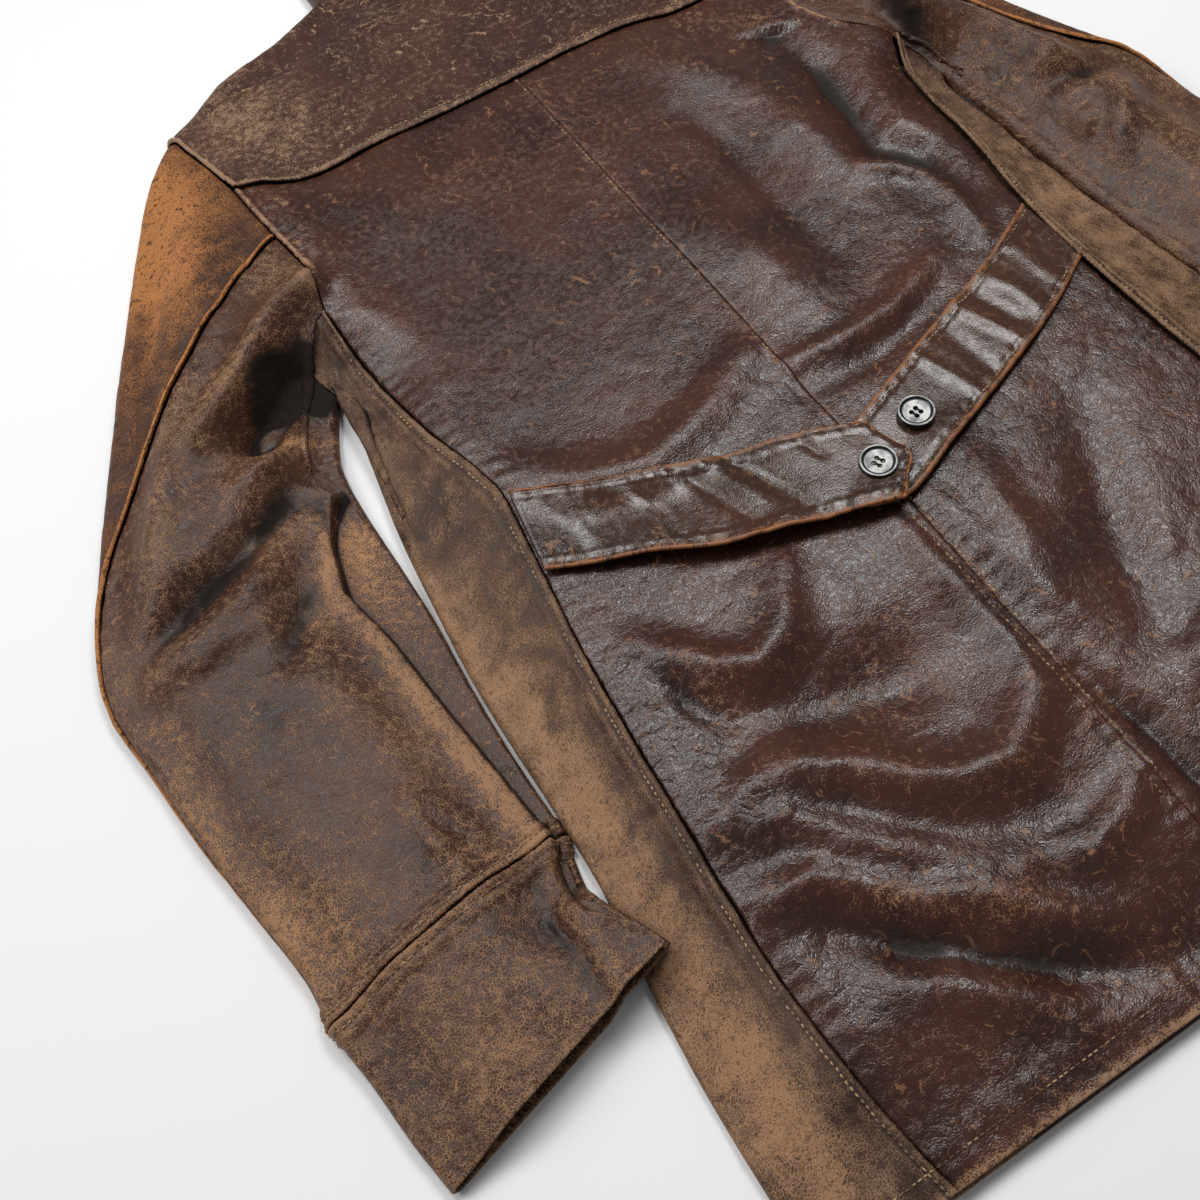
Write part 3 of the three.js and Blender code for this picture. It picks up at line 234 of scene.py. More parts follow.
# Folds: height, reach to each side, the line of the crest or trough, and True where its ends stay full
FOLDS = [
    # upper back
    [8, 19, [[75, -30], [95, -70], [108, -110], [112, -150], [118, -195]]],
    [-9, 14, [[150, -60], [156, -110], [150, -150], [143, -182], [160, -205], [166, -245]]],
    [6, 7, [[122, -196], [138, -207], [149, -222], [151, -246], [147, -276]]],
    [5, 8, [[2, -287], [35, -292], [70, -291], [112, -276]]],
    [-3, 10, [[0, -308], [45, -312], [95, -300]]],
    [6, 13, [[-155, -262], [-128, -286], [-96, -298], [-60, -290], [-12, -268]]],
    [3, 10, [[-172, 0], [-168, -60], [-172, -130]]],
    [4, 18, [[20, -170], [30, -210], [40, -255]]],
    [-3, 9, [[65, -90], [72, -130], [68, -190], [70, -240]]],
    # below the belt
    [8, 12, [[-163, -385], [-152, -402], [-139, -419], [-119, -430], [-99, -421], [-80, -392]]],
    [-4, 6, [[-163, -395], [-160, -425], [-150, -445]]],
    [4, 9, [[-14, -400], [-12, -450], [-11, -490], [-18, -515]]],
    [3, 8, [[12, -395], [16, -440], [20, -480]]],
    [11, 15, [[-160, -478], [-138, -484], [-115, -500], [-97, -520], [-76, -534], [-50, -538], [-18, -518]]],
    [-5, 20, [[-150, -455], [-110, -460], [-70, -475], [-45, -490]]],
    [7, 12, [[-178, -492], [-158, -502], [-140, -524], [-119, -547], [-84, -579]]],
    [8, 12, [[-192, -528], [-164, -534], [-147, -551], [-127, -571], [-102, -585], [-57, -641]]],
    [-9, 13, [[-166, -556], [-145, -582], [-118, -608], [-88, -629], [-42, -652]]],
    [6, 12, [[-74, -583], [-48, -593], [-24, -588], [-6, -577]]],
    [5, 12, [[-160, -592], [-136, -602], [-118, -624], [-104, -646]]],
    [3, 7, [[-190, -560], [-188, -600]]],
    [4, 8, [[-190, -487], [-160, -480]]],
    [-6, 7, [[6, -520], [14, -560], [15, -600], [12, -655]]],
    [-7, 17, [[110, -405], [78, -462], [52, -525]]],
    [5, 13, [[40, -390], [34, -440], [24, -490]]],
    [9, 12, [[170, -470], [140, -510], [100, -536], [60, -548]]],
    [7, 11, [[176, -560], [140, -590], [95, -612], [50, -620]]],
    # left sleeve
    [15, 11, [[-188, -77], [-206, -82], [-228, -96], [-250, -116], [-285, -138]], True],
    [-26, 14, [[-230, -126], [-245, -136], [-262, -148]], True],
    [-8, 9, [[-210, -108], [-222, -122], [-228, -136]]],
    [9, 10, [[-222, -158], [-238, -163], [-258, -172], [-284, -180]]],
    [-11, 11, [[-238, -190], [-272, -197], [-308, -216], [-345, -229], [-382, -242]]],
    [6, 9, [[-246, -206], [-270, -218], [-296, -236], [-335, -250], [-385, -257]]],
    [8, 14, [[-292, -105], [-318, -146], [-344, -183], [-368, -212]]],
    [-10, 10, [[-262, -240], [-280, -254], [-296, -268], [-312, -284]]],
    [3, 8, [[-277, -262], [-272, -300], [-266, -340], [-262, -390], [-259, -425]]],
    [4, 8, [[-400, -258], [-350, -264], [-305, -258]]],
    [-5, 13, [[-335, -312], [-350, -335]]],
    [5, 6, [[-303, -392], [-299, -418], [-297, -440]]],
    [4, 5, [[-290, -400], [-278, -424]]],
    [4, 8, [[-262, -452], [-264, -474], [-274, -498]]],
    # right sleeve
    [12, 8, [[222, -84], [229, -120], [236, -165], [240, -205], [248, -245]], True],
    [-14, 8, [[216, -98], [220, -124], [222, -142]]],
    [4, 8, [[235, -192], [270, -196], [300, -202]]],
    [-9, 8, [[244, -205], [275, -217], [316, -212]]],
    [6, 9, [[232, -292], [258, -266], [284, -242], [310, -222]]],
    [-9, 10, [[240, -345], [262, -352], [300, -350]]],
    [5, 11, [[255, -395], [300, -400], [350, -392]]],
]


# Small maths on arrays

def clamp01(value):
    return np.clip(value, 0.0, 1.0)


def soft(value):
    t = clamp01(value)
    return t * t * (3 - 2 * t)


def mix(a, b, t):
    return a + (b - a) * t


def lifted(plan, z):
    """Places on the floor plan with their heights."""
    return np.concatenate([plan, z[..., None]], -1)


def hill(x, y, cx, cy, rx, ry):
    """1 at the middle of a patch, and less over its reach across and along."""
    return np.exp(-(((x - cx) / rx) ** 2) - ((y - cy) / ry) ** 2)


def bump(d, middle, width):
    return np.exp(-(((d - middle) / width) ** 2))


def unit(v):
    return v / np.maximum(np.linalg.norm(v, axis=-1, keepdims=True), 1e-9)


def curve_at(points, places):
    """Points of a smooth curve at places counted in the curve's own points."""
    points = np.asarray(points, float)
    last = len(points) - 1
    s = np.clip(np.asarray(places, float), 0, last)
    i = np.minimum(s.astype(int), last - 1)
    w = (s - i)[..., None]
    ends = [2 * points[0] - points[1]], [2 * points[-1] - points[-2]]
    padded = np.vstack([ends[0], points, ends[1]])
    p0, p1, p2, p3 = (padded[i + k] for k in range(4))
    t0, t1 = (p2 - p0) / 2, (p3 - p1) / 2
    return p1 + t0 * w + (3 * (p2 - p1) - 2 * t0 - t1) * w**2 + (2 * (p1 - p2) + t0 + t1) * w**3


def run_lengths(points):
    steps = np.linalg.norm(np.diff(points, axis=0), axis=1)
    return np.concatenate([[0.0], np.cumsum(steps)])


def spaced(points, count):
    """Points at even distances along a smooth curve, the last one at its end."""
    points = np.asarray(points, float)
    places = np.linspace(0, len(points) - 1, 40 * len(points))
    lengths = run_lengths(curve_at(points, places))
    wanted = np.linspace(0, lengths[-1], count + 1)
    return curve_at(points, np.interp(wanted, lengths, places))


def list_at(values, places):
    return np.interp(places, np.arange(len(values)), values)


def patch(west, east, south, north):
    """A grid between four border lists, blended from both pairs of borders."""
    v = np.linspace(0, 1, len(west))[:, None, None]
    u = np.linspace(0, 1, len(south))[None, :, None]
    across = mix(west[:, None], east[:, None], u)
    along = mix(south[None], north[None], v)
    corners = mix(mix(south[0], south[-1], u), mix(north[0], north[-1], u), v)
    return across + along - corners


# Noise from a lattice of repeatable random directions

def lattice_dot(ix, iy, iz, dx, dy, dz, seed):
    n = (
        ix * np.uint64(73856093) ^ iy * np.uint64(19349663) ^ iz * np.uint64(83492791)
        ^ np.uint64(seed * 2654435761 % 2**32)
    )
    total = 0.0
    for offset in (dx, dy, dz):
        n = n * np.uint64(6364136223846793005) + np.uint64(1442695040888963407)
        n ^= n >> np.uint64(29)
        total = total + (((n >> np.uint64(33)) & np.uint64(0xFFFF)).astype(float) / 32767.5 - 1) * offset
    return total


def noise(points, size, seed):
    """Smooth noise from about -1 to 1, in lumps of the given size."""
    p = np.asarray(points, float) / size + 1000.0
    cell = np.floor(p)
    f = p - cell
    cell = cell.astype(np.uint64)
    fade = f * f * f * (f * (f * 6 - 15) + 10)
    total = 0.0
    for cx in (0, 1):
        wx = fade[..., 0] if cx else 1 - fade[..., 0]
        for cy in (0, 1):
            wy = fade[..., 1] if cy else 1 - fade[..., 1]
            for cz in (0, 1):
                wz = fade[..., 2] if cz else 1 - fade[..., 2]
                corner = lattice_dot(
                    cell[..., 0] + np.uint64(cx), cell[..., 1] + np.uint64(cy), cell[..., 2] + np.uint64(cz),
                    f[..., 0] - cx, f[..., 1] - cy, f[..., 2] - cz, seed,
                )
                total = total + wx * wy * wz * corner
    return total * 1.2


# Heights of the upper layers

def segments(lines):
    out = []
    for line in lines:
        line = np.asarray(line, float)
        rims = line[:, 2] if line.shape[1] > 2 else np.zeros(len(line))
        for k in range(len(line) - 1):
            out.append((*line[k, :2], rims[k], *line[k + 1, :2], rims[k + 1]))
    return out


def nearest(parts, x, y):
    """Distance to the nearest segment, and the rim height there."""
    best = np.full(np.shape(x), np.inf)
    rim = np.zeros(np.shape(x))
    for ax, ay, ar, bx, by, br in parts:
        dx, dy = bx - ax, by - ay
        t = clamp01(((x - ax) * dx + (y - ay) * dy) / (dx * dx + dy * dy))
        distance = np.hypot(x - ax - t * dx, y - ay - t * dy)
        closer = distance < best
        best = np.where(closer, distance, best)
        rim = np.where(closer, mix(ar, br, t), rim)
    return best, rim


def level(y):
    ys = np.array([entry[0] for entry in LEVELS], float)
    zs = np.array([entry[1] for entry in LEVELS], float)
    y = np.clip(y, ys[0], ys[-1])
    i = np.clip(np.searchsorted(ys, y) - 1, 0, len(ys) - 2)
    return mix(zs[i], zs[i + 1], soft((y - ys[i]) / (ys[i + 1] - ys[i])))


def full_height(x, y):
    z = level(y)
    for *patch_at, height in SWELLS:
        z = z + height * hill(x, y, *patch_at)
    for height, reach, line, *full in FOLDS:
        weights = np.ones((len(line), 1))
        if not full:
            weights[[0, -1]] = FOLD_ENDS
        distance, share = nearest(segments([np.hstack([line, weights])]), x, y)
        z = z + height * share * np.exp(-((distance / reach) ** 2))
    return z


def height_inside(parts, fall, x, y):
    distance, rim = nearest(parts, x, y)
    top = np.maximum(full_height(x, y), rim + 0.5)
    return rim + (top - rim) * soft((distance - rim / 2) / fall)


def rim_frame(half, which, k):
    """A rolled edge at steps k from the armhole: its outward direction, radius and centre."""
    points = half[which]
    start = half["shoulder" if which == "outer" else "underarm"]
    at = curve_at(points, start + k)
    ahead = curve_at(points, start + k + 0.3) - curve_at(points, start + k - 0.3)
    direction = unit(ahead[..., :2])
    turn = half["side"] * (1 if which == "outer" else -1)
    out = np.stack([-turn * direction[..., 1], turn * direction[..., 0]], -1)
    r = at[..., 2] / 2
    return {"out": out, "r": r, "centre": at[..., :2] - out * r[..., None]}


def on_roll(rim, turn, base=0.0):
    """A point of a rolled edge, from the top, turn = 0, to the underside, turn = 1."""
    angle = np.pi * (0.5 - turn)
    place = rim["centre"] + rim["out"] * (rim["r"] * np.cos(angle))[..., None]
    z = base + rim["r"] + rim["r"] * np.sin(angle)
    return lifted(place, z)


def prepare(half):
    """Works out the lines that the heights of one side fall to."""
    last_outer = len(half["outer"]) - 1
    last_inner = len(half["inner"]) - 1
    shoulder, underarm = half["shoulder"], half["underarm"]

    def run(which, start, end):
        return curve_at(half[which], np.linspace(start, end, int((end - start) * 3) + 1))

    top = run("outer", 0, shoulder)
    sleeve_stop = underarm + 5 if half["strip"] else last_inner
    body = [
        top, run("inner", 0, underarm), run("outer", shoulder, shoulder + 4),
        run("inner", underarm, underarm + 4),
    ]
    sleeve = [
        top, run("outer", shoulder, last_outer), run("inner", underarm, sleeve_stop),
        run("inner", underarm - 5, underarm),
    ]
    if half["strip"]:
        k = np.arange(5, SLEEVE_STEPS + 3)
        outer = rim_frame(half, "outer", k)["centre"]
        inner = rim_frame(half, "inner", k)["centre"]
        share = np.array(half["strip"])[k][:, None]
        sleeve.append(np.hstack([mix(outer, inner, share), np.full((len(k), 1), 15.0)]))
    half["body_parts"] = segments(body)
    half["sleeve_parts"] = segments(sleeve)


def body_height(x, y):
    on_left = height_inside(LEFT["body_parts"], BODY_FALL, x, y)
    on_right = height_inside(RIGHT["body_parts"], BODY_FALL, x, y)
    return np.where(x < 0, on_left, on_right)


def sleeve_height(half, x, y):
    return height_inside(half["sleeve_parts"], SLEEVE_FALL, x, y)


def on_top(plan):
    return lifted(plan, body_height(plan[..., 0], plan[..., 1]))


def on_floor(plan):
    return lifted(plan, np.zeros(plan.shape[:-1]))


# Meshes

def to_row():
    """How far the coat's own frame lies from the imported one, in millimetres."""
    low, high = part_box("button_belt")
    x, y = BUTTON_PLACES["button_belt"]
    return np.array([(low.x + high.x) * 500 - x, (low.y + high.y) * 500 - y, 0.0])


SHIFT = to_row()


def linked(name, data):
    """A new object in the scene."""
    obj = bpy.data.objects.new(name, data)
    bpy.context.scene.collection.objects.link(obj)
    return obj


def place(obj, slot, node=None):
    """Fixes a piece to the coat, in place of a solid where one is named. The slot is not used."""
    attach(obj, "root")
    if node:
        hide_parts(node)


def new_object(name, vertices, faces, material, tone=None, cloth=None):
    """A mesh from points in millimetres, with what its leather reads at each of them."""
    mesh = bpy.data.meshes.new(name)
    places = (np.asarray(vertices, float) + SHIFT) / 1000
    mesh.from_pydata(places.tolist(), [], faces if isinstance(faces, list) else faces.tolist())
    mesh.polygons.foreach_set("use_smooth", np.ones(len(mesh.polygons), bool))
    if tone is not None:
        layer = mesh.attributes.new("tone", "FLOAT_COLOR", "POINT")
        layer.data.foreach_set("color", np.clip(tone, 0, 1).astype(np.float32).ravel())
        layer = mesh.attributes.new("cloth", "FLOAT_VECTOR", "POINT")
        layer.data.foreach_set("vector", np.asarray(cloth, np.float32).ravel())
    mesh.validate()
    obj = linked(name, mesh)
    obj.data.materials.append(material)
    return obj


def grid_normals(grid, facing, closed=False):
    """Unit normals of a grid of points. facing is 1, or -1 where the grid runs the other way."""
    across = np.gradient(grid, axis=1)
    if closed:
        across = (np.roll(grid, -1, axis=1) - np.roll(grid, 1, axis=1)) / 2
    along = np.gradient(grid, axis=0)
    return unit(np.cross(across, along)) * facing


def grid_quads(rows, cols, closed, whole):
    index = np.arange(rows * cols).reshape(rows, cols)
    after = np.roll(index, -1, axis=1)
    if closed:
        quads = np.stack([index[:-1], after[:-1], after[1:], index[1:]], -1)
    else:
        quads = np.stack([index[:-1, :-1], index[:-1, 1:], index[1:, 1:], index[1:, :-1]], -1)
    quads = quads.reshape(-1, 4)
    if whole is not None:
        quads = quads[whole.reshape(-1)[quads].all(axis=1)]
    return quads


def shell(name, grid, material, thickness=LEATHER, facing=1, closed=False, whole=None, tone=None, cloth=None):
    """A thin closed wall on a grid of outer points, with its open sides rounded."""
    rows, cols = grid.shape[:2]
    normals = grid_normals(grid, facing, closed).reshape(-1, 3)
    outer = grid.reshape(-1, 3).copy()
    quads = grid_quads(rows, cols, closed, whole)
    if facing < 0:
        quads = quads[:, ::-1]
    count = len(outer)
    starts = quads.reshape(-1)
    ends = np.roll(quads, -1, axis=1).reshape(-1)
    open_side = ~np.isin(starts * count + ends, ends * count + starts)
    starts, ends = starts[open_side], ends[open_side]
    # the side's outward direction at each of its points
    outward = np.zeros((count, 3))
    sideways = np.cross(unit(outer[ends] - outer[starts]), normals[starts])
    np.add.at(outward, starts, sideways)
    np.add.at(outward, ends, sideways)
    edge = np.unique(starts)
    outward = unit(outward)
    r = thickness / 2
    middle = outer[edge] - normals[edge] * r - outward[edge] * r
    inner = outer - normals * thickness
    inner[:, 2] = np.maximum(inner[:, 2], np.minimum(outer[:, 2], 0.0))
    arcs = []
    for angle in (45, 0, -45):
        c, s = math.cos(math.radians(angle)), math.sin(math.radians(angle))
        arcs.append(middle + normals[edge] * r * s + outward[edge] * r * c)
    outer[edge] -= outward[edge] * r
    inner[edge] -= outward[edge] * r
    vertices = np.vstack([outer, inner, *arcs])
    place = np.full(count, -1)
    place[edge] = np.arange(len(edge))
    rings = [lambda v: v]
    for k in range(3):
        rings.append(lambda v, k=k: 2 * count + k * len(edge) + place[v])
    rings.append(lambda v: v + count)
    faces = [quads, quads[:, ::-1] + count]
    for upper, lower in zip(rings, rings[1:]):
        faces.append(np.stack([upper(ends), upper(starts), lower(starts), lower(ends)], -1))
    faces = np.vstack(faces)
    used = np.unique(faces)
    remap = np.full(len(vertices), -1)
    remap[used] = np.arange(len(used))
    layers = []
    for values in (tone.reshape(-1, 4), cloth.reshape(-1, 3)):
        layers.append(np.vstack([values, values, values[edge], values[edge], values[edge]])[used])
    return new_object(name, vertices[used], remap[faces], material, *layers)


# Borders that the panels share

def seams(half):
    shoulder_point = rim_frame(half, "outer", np.array(0.0))["centre"]
    underarm = rim_frame(half, "inner", np.array(0.0))["centre"]
    yoke_arm = spaced(half["arm_yoke"], YOKE_PART * ARM_FINE)
    back_arm = spaced(half["arm_back"], BACK_PART * ARM_FINE)
    side_arm = spaced(half["arm_side"], SIDE_PART * ARM_FINE)
    # the ends of the armhole lie on the rolled edges
    yoke_arm += (shoulder_point - yoke_arm[0]) * np.linspace(1, 0, len(yoke_arm))[:, None] ** 2
    side_arm += (underarm - side_arm[-1]) * np.linspace(0, 1, len(side_arm))[:, None] ** 2
    front_arm = spaced(half["arm_front"], 16)
    k = -half["shoulder"] * (1 - np.linspace(0, 1, SHOULDER_COLS + 1))
    positions = np.linspace(0, half["underarm"], 800)
    edge = curve_at(half["inner"], half["underarm"] - positions)
    lengths = run_lengths(edge[:, :2])
    rows = np.linspace(0, 1, SEAM_ROWS + 1)
    wanted = lengths[-1] * (rows - 0.012 * rows * np.exp(-rows * 18))
    body_k = -np.interp(wanted, lengths, positions)
    return {
        "yoke_arm": yoke_arm, "back_arm": back_arm, "side_arm": side_arm,
        "shoulder_frames": rim_frame(half, "outer", k),
        "body_frames": rim_frame(half, "inner", body_k),
        "side_seam": spaced(half["side_seam"], SEAM_ROWS),
        "yoke_seam": spaced(half["yoke_seam"], HALF_COLS),
        "hem": spaced(half["hem"], HALF_COLS),
        "arm_top": np.vstack([yoke_arm, back_arm[1:], side_arm[1:]]),
        "arm_bottom": np.vstack([underarm, front_arm, shoulder_point]),
    }


def thin_out(line, count):
    """The same line with another number of even steps."""
    lengths = run_lengths(line)
    wanted = np.linspace(0, lengths[-1], count + 1)
    return np.stack([np.interp(wanted, lengths, line[:, axis]) for axis in range(line.shape[1])], -1)


prepare(LEFT)
prepare(RIGHT)
LEFT_SEAMS = seams(LEFT)
RIGHT_SEAMS = seams(RIGHT)


# The panels, as grids of outer points

def flip_frames(rims):
    return {key: value[::-1] for key, value in rims.items()}


def join_frames(parts):
    return {key: np.concatenate([part[key] for part in parts]) for key in parts[0]}


def neck_line():
    left_corner = LEFT_SEAMS["shoulder_frames"]["centre"][0]
    right_corner = RIGHT_SEAMS["shoulder_frames"]["centre"][0]
    return spaced([left_corner, *NECK, right_corner], NECK_COLS)


def yoke_grid():
    left_top = LEFT_SEAMS["shoulder_frames"]["centre"][::-1]
    right_top = RIGHT_SEAMS["shoulder_frames"]["centre"]
    neck = neck_line()
    north = np.vstack([left_top, neck[1:-1], right_top])
    south = np.vstack([LEFT_SEAMS["yoke_seam"][::-1], RIGHT_SEAMS["yoke_seam"][1:]])
    west = thin_out(LEFT_SEAMS["yoke_arm"][::-1], YOKE_ROWS)
    east = thin_out(RIGHT_SEAMS["yoke_arm"][::-1], YOKE_ROWS)
    top = on_top(patch(west, east, south, north))
    filler = {
        "out": np.zeros((NECK_COLS - 1, 2)), "r": np.zeros(NECK_COLS - 1), "centre": neck[1:-1],
    }
    rims = join_frames([flip_frames(LEFT_SEAMS["shoulder_frames"]), filler, RIGHT_SEAMS["shoulder_frames"]])
    columns = north.shape[0]
    has_roll = rims["r"] > 0
    top[-1] = np.where(has_roll[:, None], on_roll(rims, 0.0), top[-1])
    rolled = [on_roll(rims, turn / ROLL_COLS) for turn in range(1, ROLL_COLS + 1)]
    from_arm = np.minimum(np.arange(columns), columns - 1 - np.arange(columns)) / SHOULDER_COLS
    floor = mix(np.array(FRONT_TOP[0], float), np.array(FRONT_TOP[3], float), clamp01(from_arm)[:, None])
    floor[columns // 2:, 0] *= -1
    floors = [on_floor(mix(rims["centre"], floor, t)) for t in (0.25, 0.5, 0.75, 1.0)]
    grid = np.concatenate([top, np.stack(rolled + floors)])
    whole = np.ones(grid.shape[:2], bool)
    whole[YOKE_ROWS + 1:] = has_roll
    return grid, whole


def back_plan(lists):
    rows = ARM_ROWS + SEAM_ROWS
    arm = thin_out(lists["back_arm"], ARM_ROWS)
    outer = np.vstack([arm, lists["side_seam"][1:]])
    top, seam_top, hem = arm[0][1], lists["side_seam"][0][1], lists["hem"][0][1]
    arm_share = (top - seam_top) / (top - hem)
    share = np.concatenate([
        arm_share * np.linspace(0, 1, ARM_ROWS + 1),
        arm_share + (1 - arm_share) * np.linspace(0, 1, SEAM_ROWS + 1)[1:],
    ])
    centre_top = lists["yoke_seam"][0][1]
    centre = np.stack([np.zeros(rows + 1), centre_top + (hem - centre_top) * share], -1)
    return patch(centre, outer, lists["yoke_seam"], lists["hem"])


def side_grid(half, lists):
    rims = lists["body_frames"]
    hem = mix(lists["hem"][-1], rims["centre"][-1], np.linspace(0, 1, SIDE_COLS + 1)[:, None])
    arm = thin_out(lists["side_arm"], SIDE_COLS)
    top = on_top(patch(lists["side_seam"], rims["centre"], arm, hem))
    top[:, -1] = on_roll(rims, 0.0)
    rolled = [on_roll(rims, turn / ROLL_COLS) for turn in range(1, ROLL_COLS + 1)]
    seam_top, seam_end = np.array(half["front_seam"], float)
    seam = mix(seam_top, seam_end, np.linspace(0, 1, SEAM_ROWS + 1)[:, None])
    floors = [on_floor(mix(rims["centre"], seam, t)) for t in (0.2, 0.4, 0.6, 0.8, 1.0)]
    return np.concatenate([top, np.stack(rolled + floors, axis=1)], axis=1)


def front_height(side, x, y):
    """The front on the right, where side is 1, lies over the other one."""
    across = soft((PLACKET_EDGE - side * x) / PLACKET_SLOPE) * soft((PLACKET_EDGE + side * x) / PLACKET_SLOPE)
    along = soft((PLACKET_TOP - y) / 36) * soft((y - PLACKET_END) / 70)
    over = 0
    if side > 0:
        over = FRONT_LAP * soft((PLACKET_EDGE - x) / PLACKET_SLOPE) * (1 + 0.6 * soft((y - 20) / 40))
    return PLACKET_HEIGHT * across * along + over


def front_grid(half):
    mirror = np.array([-half["side"], 1])
    top = spaced(np.array(FRONT_TOP) * mirror, 40)
    hem = spaced(np.array(FRONT_HEM) * mirror, 40)
    seam_top, seam_end = np.array(half["front_seam"], float)
    rows, arm_rows = 90, 22
    arm = thin_out(spaced(half["arm_front"], 30)[::-1], arm_rows)
    seam = mix(seam_top, seam_end, np.linspace(0, 1, rows - arm_rows + 1)[1:, None])
    west = np.vstack([arm, seam])
    edge_x = top[-1][0]
    edge_y = np.linspace(FRONT_TOP[-1][1], FRONT_HEM[-1][1], rows + 1)
    east = np.stack([np.full(rows + 1, edge_x), edge_y], -1)
    plan = patch(west, east, top, hem)
    return lifted(plan, front_height(half["side"], plan[..., 0], plan[..., 1]))


def collar_grid():
    neck = neck_line()
    rows = 26
    tip_top = 168
    edge_x, edge_y, edge_r = 60, 226, 4
    turns = np.linspace(0, 1, ROLL_COLS + 1)
    bottom = thin_out(np.array(FRONT_TOP[3:7], float)[::-1], 12)

    def floor_side(side):
        plan = bottom * [-side, 1]
        return lifted(plan, front_height(side, plan[:, 0], plan[:, 1]))

    def corner(lists, side, which):
        rims = {key: value[0] for key, value in lists["shoulder_frames"].items()}
        if which == "top":
            out, centre = np.array([side, 0.0]), np.array([side * edge_x, edge_y])
            rims = {"out": out, "r": np.array(float(edge_r)), "centre": centre}
        return np.stack([on_roll(rims, t) for t in turns])

    ends = mix(np.array([-20.0, tip_top]), np.array([-edge_x, edge_y], float), np.linspace(0, 1, 13)[:, None])
    top_edge = spaced([[-edge_x, edge_y], [0, edge_y - 4], [edge_x, edge_y]], NECK_COLS)
    upper = lifted(top_edge, np.full(NECK_COLS + 1, 2.0 * edge_r))
    low_row = np.vstack([
        floor_side(-1), corner(LEFT_SEAMS, -1, "low")[::-1], on_top(neck[1:-1]),
        corner(RIGHT_SEAMS, 1, "low"), floor_side(1)[::-1],
    ])
    high_row = np.vstack([
        on_floor(ends), corner(LEFT_SEAMS, -1, "top")[::-1], upper[1:-1],
        corner(RIGHT_SEAMS, 1, "top"), on_floor(ends * [-1, 1])[::-1],
    ])
    return mix(low_row[None], high_row[None], np.linspace(0, 1, rows + 1)[:, None, None])


# Sleeves are rings: a soft top layer, an inner roll, a flat lower layer, an outer roll

def rise_under_cuff(half, x, y):
    if not half["cuff_rise"]:
        return np.zeros(np.shape(x))
    start_x, start_y, height, reach = half["cuff_rise"]
    return height * soft((x - start_x) / reach) * soft((start_y - y) / 12)


def ring_plan(half, lists, k, s, layer):
    in_sleeve = k <= SLEEVE_STEPS
    t = np.where(in_sleeve, k / SLEEVE_STEPS, (k - SLEEVE_STEPS) / CUFF_STEPS)
    k0 = np.where(in_sleeve, 0.0, SLEEVE_STEPS)
    outer, inner = rim_frame(half, "outer", k)["centre"], rim_frame(half, "inner", k)["centre"]
    outer0, inner0 = rim_frame(half, "outer", k0)["centre"], rim_frame(half, "inner", k0)["centre"]
    chord = mix(outer0, inner0, s[..., None])
    line = lists["arm_top"] if layer == "top" else lists["arm_bottom"][::-1]
    steps = np.arange(len(line)) / (len(line) - 1)
    start = np.stack([np.interp(s, steps, line[:, axis]) for axis in (0, 1)], -1)
    start = np.where(in_sleeve[..., None], start, chord)
    fade = (1 - t) ** half["arm_fade"]
    return mix(outer, inner, s[..., None]) + fade[..., None] * (start - chord)


def ring_top(half, lists, k, s):
    plan = ring_plan(half, lists, k, s, "top")
    x, y = plan[..., 0], plan[..., 1]
    from_arm = soft(k)
    z = mix(body_height(x, y), sleeve_height(half, x, y), from_arm)
    if half["strip"]:
        edge = list_at(half["strip"], k)
        drop = soft((s - edge + 0.008) / 0.022)
        z = np.where(edge < 1, z + (STRIP - z) * drop, z)
    return lifted(plan, z + rise_under_cuff(half, x, y))


def ring_points(half, lists, k, position):
    psi = np.mod(position, RING)
    s_top = clamp01(psi / TOP_PARTS)
    s_low = clamp01(1 - (psi - INNER_END) / (BOTTOM_END - INNER_END))
    top = ring_top(half, lists, k, s_top)
    inner = rim_frame(half, "inner", k)
    inner_rise = rise_under_cuff(half, inner["centre"][..., 0], inner["centre"][..., 1])
    inner_roll = on_roll(inner, clamp01((psi - TOP_PARTS) / ROLL_PARTS), inner_rise)
    low = ring_plan(half, lists, k, s_low, "bottom")
    low = lifted(low, rise_under_cuff(half, low[..., 0], low[..., 1]))
    outer_roll = on_roll(rim_frame(half, "outer", k), clamp01((RING - psi) / ROLL_PARTS))
    first = on_roll(rim_frame(half, "outer", k), np.zeros(np.shape(psi)))
    psi = psi[..., None]
    out = np.where(psi < TOP_PARTS, top, inner_roll)
    out = np.where(psi >= INNER_END, low, out)
    out = np.where(psi > BOTTOM_END, outer_roll, out)
    return np.where(psi < 1e-6, first, out)


def upper_columns(half, k, count=112):
    """Ring positions of the top panel, closer together on its top layer than below."""
    seam = RING + list_at(half["back_seam"], np.minimum(k, SLEEVE_STEPS))
    t = np.linspace(0, 1, count + 1)
    spread = mix(t, 1 - (1 - t) ** 1.5, 0.6)
    return FRONT_SEAM + (seam[:, None] - FRONT_SEAM) * spread[None]


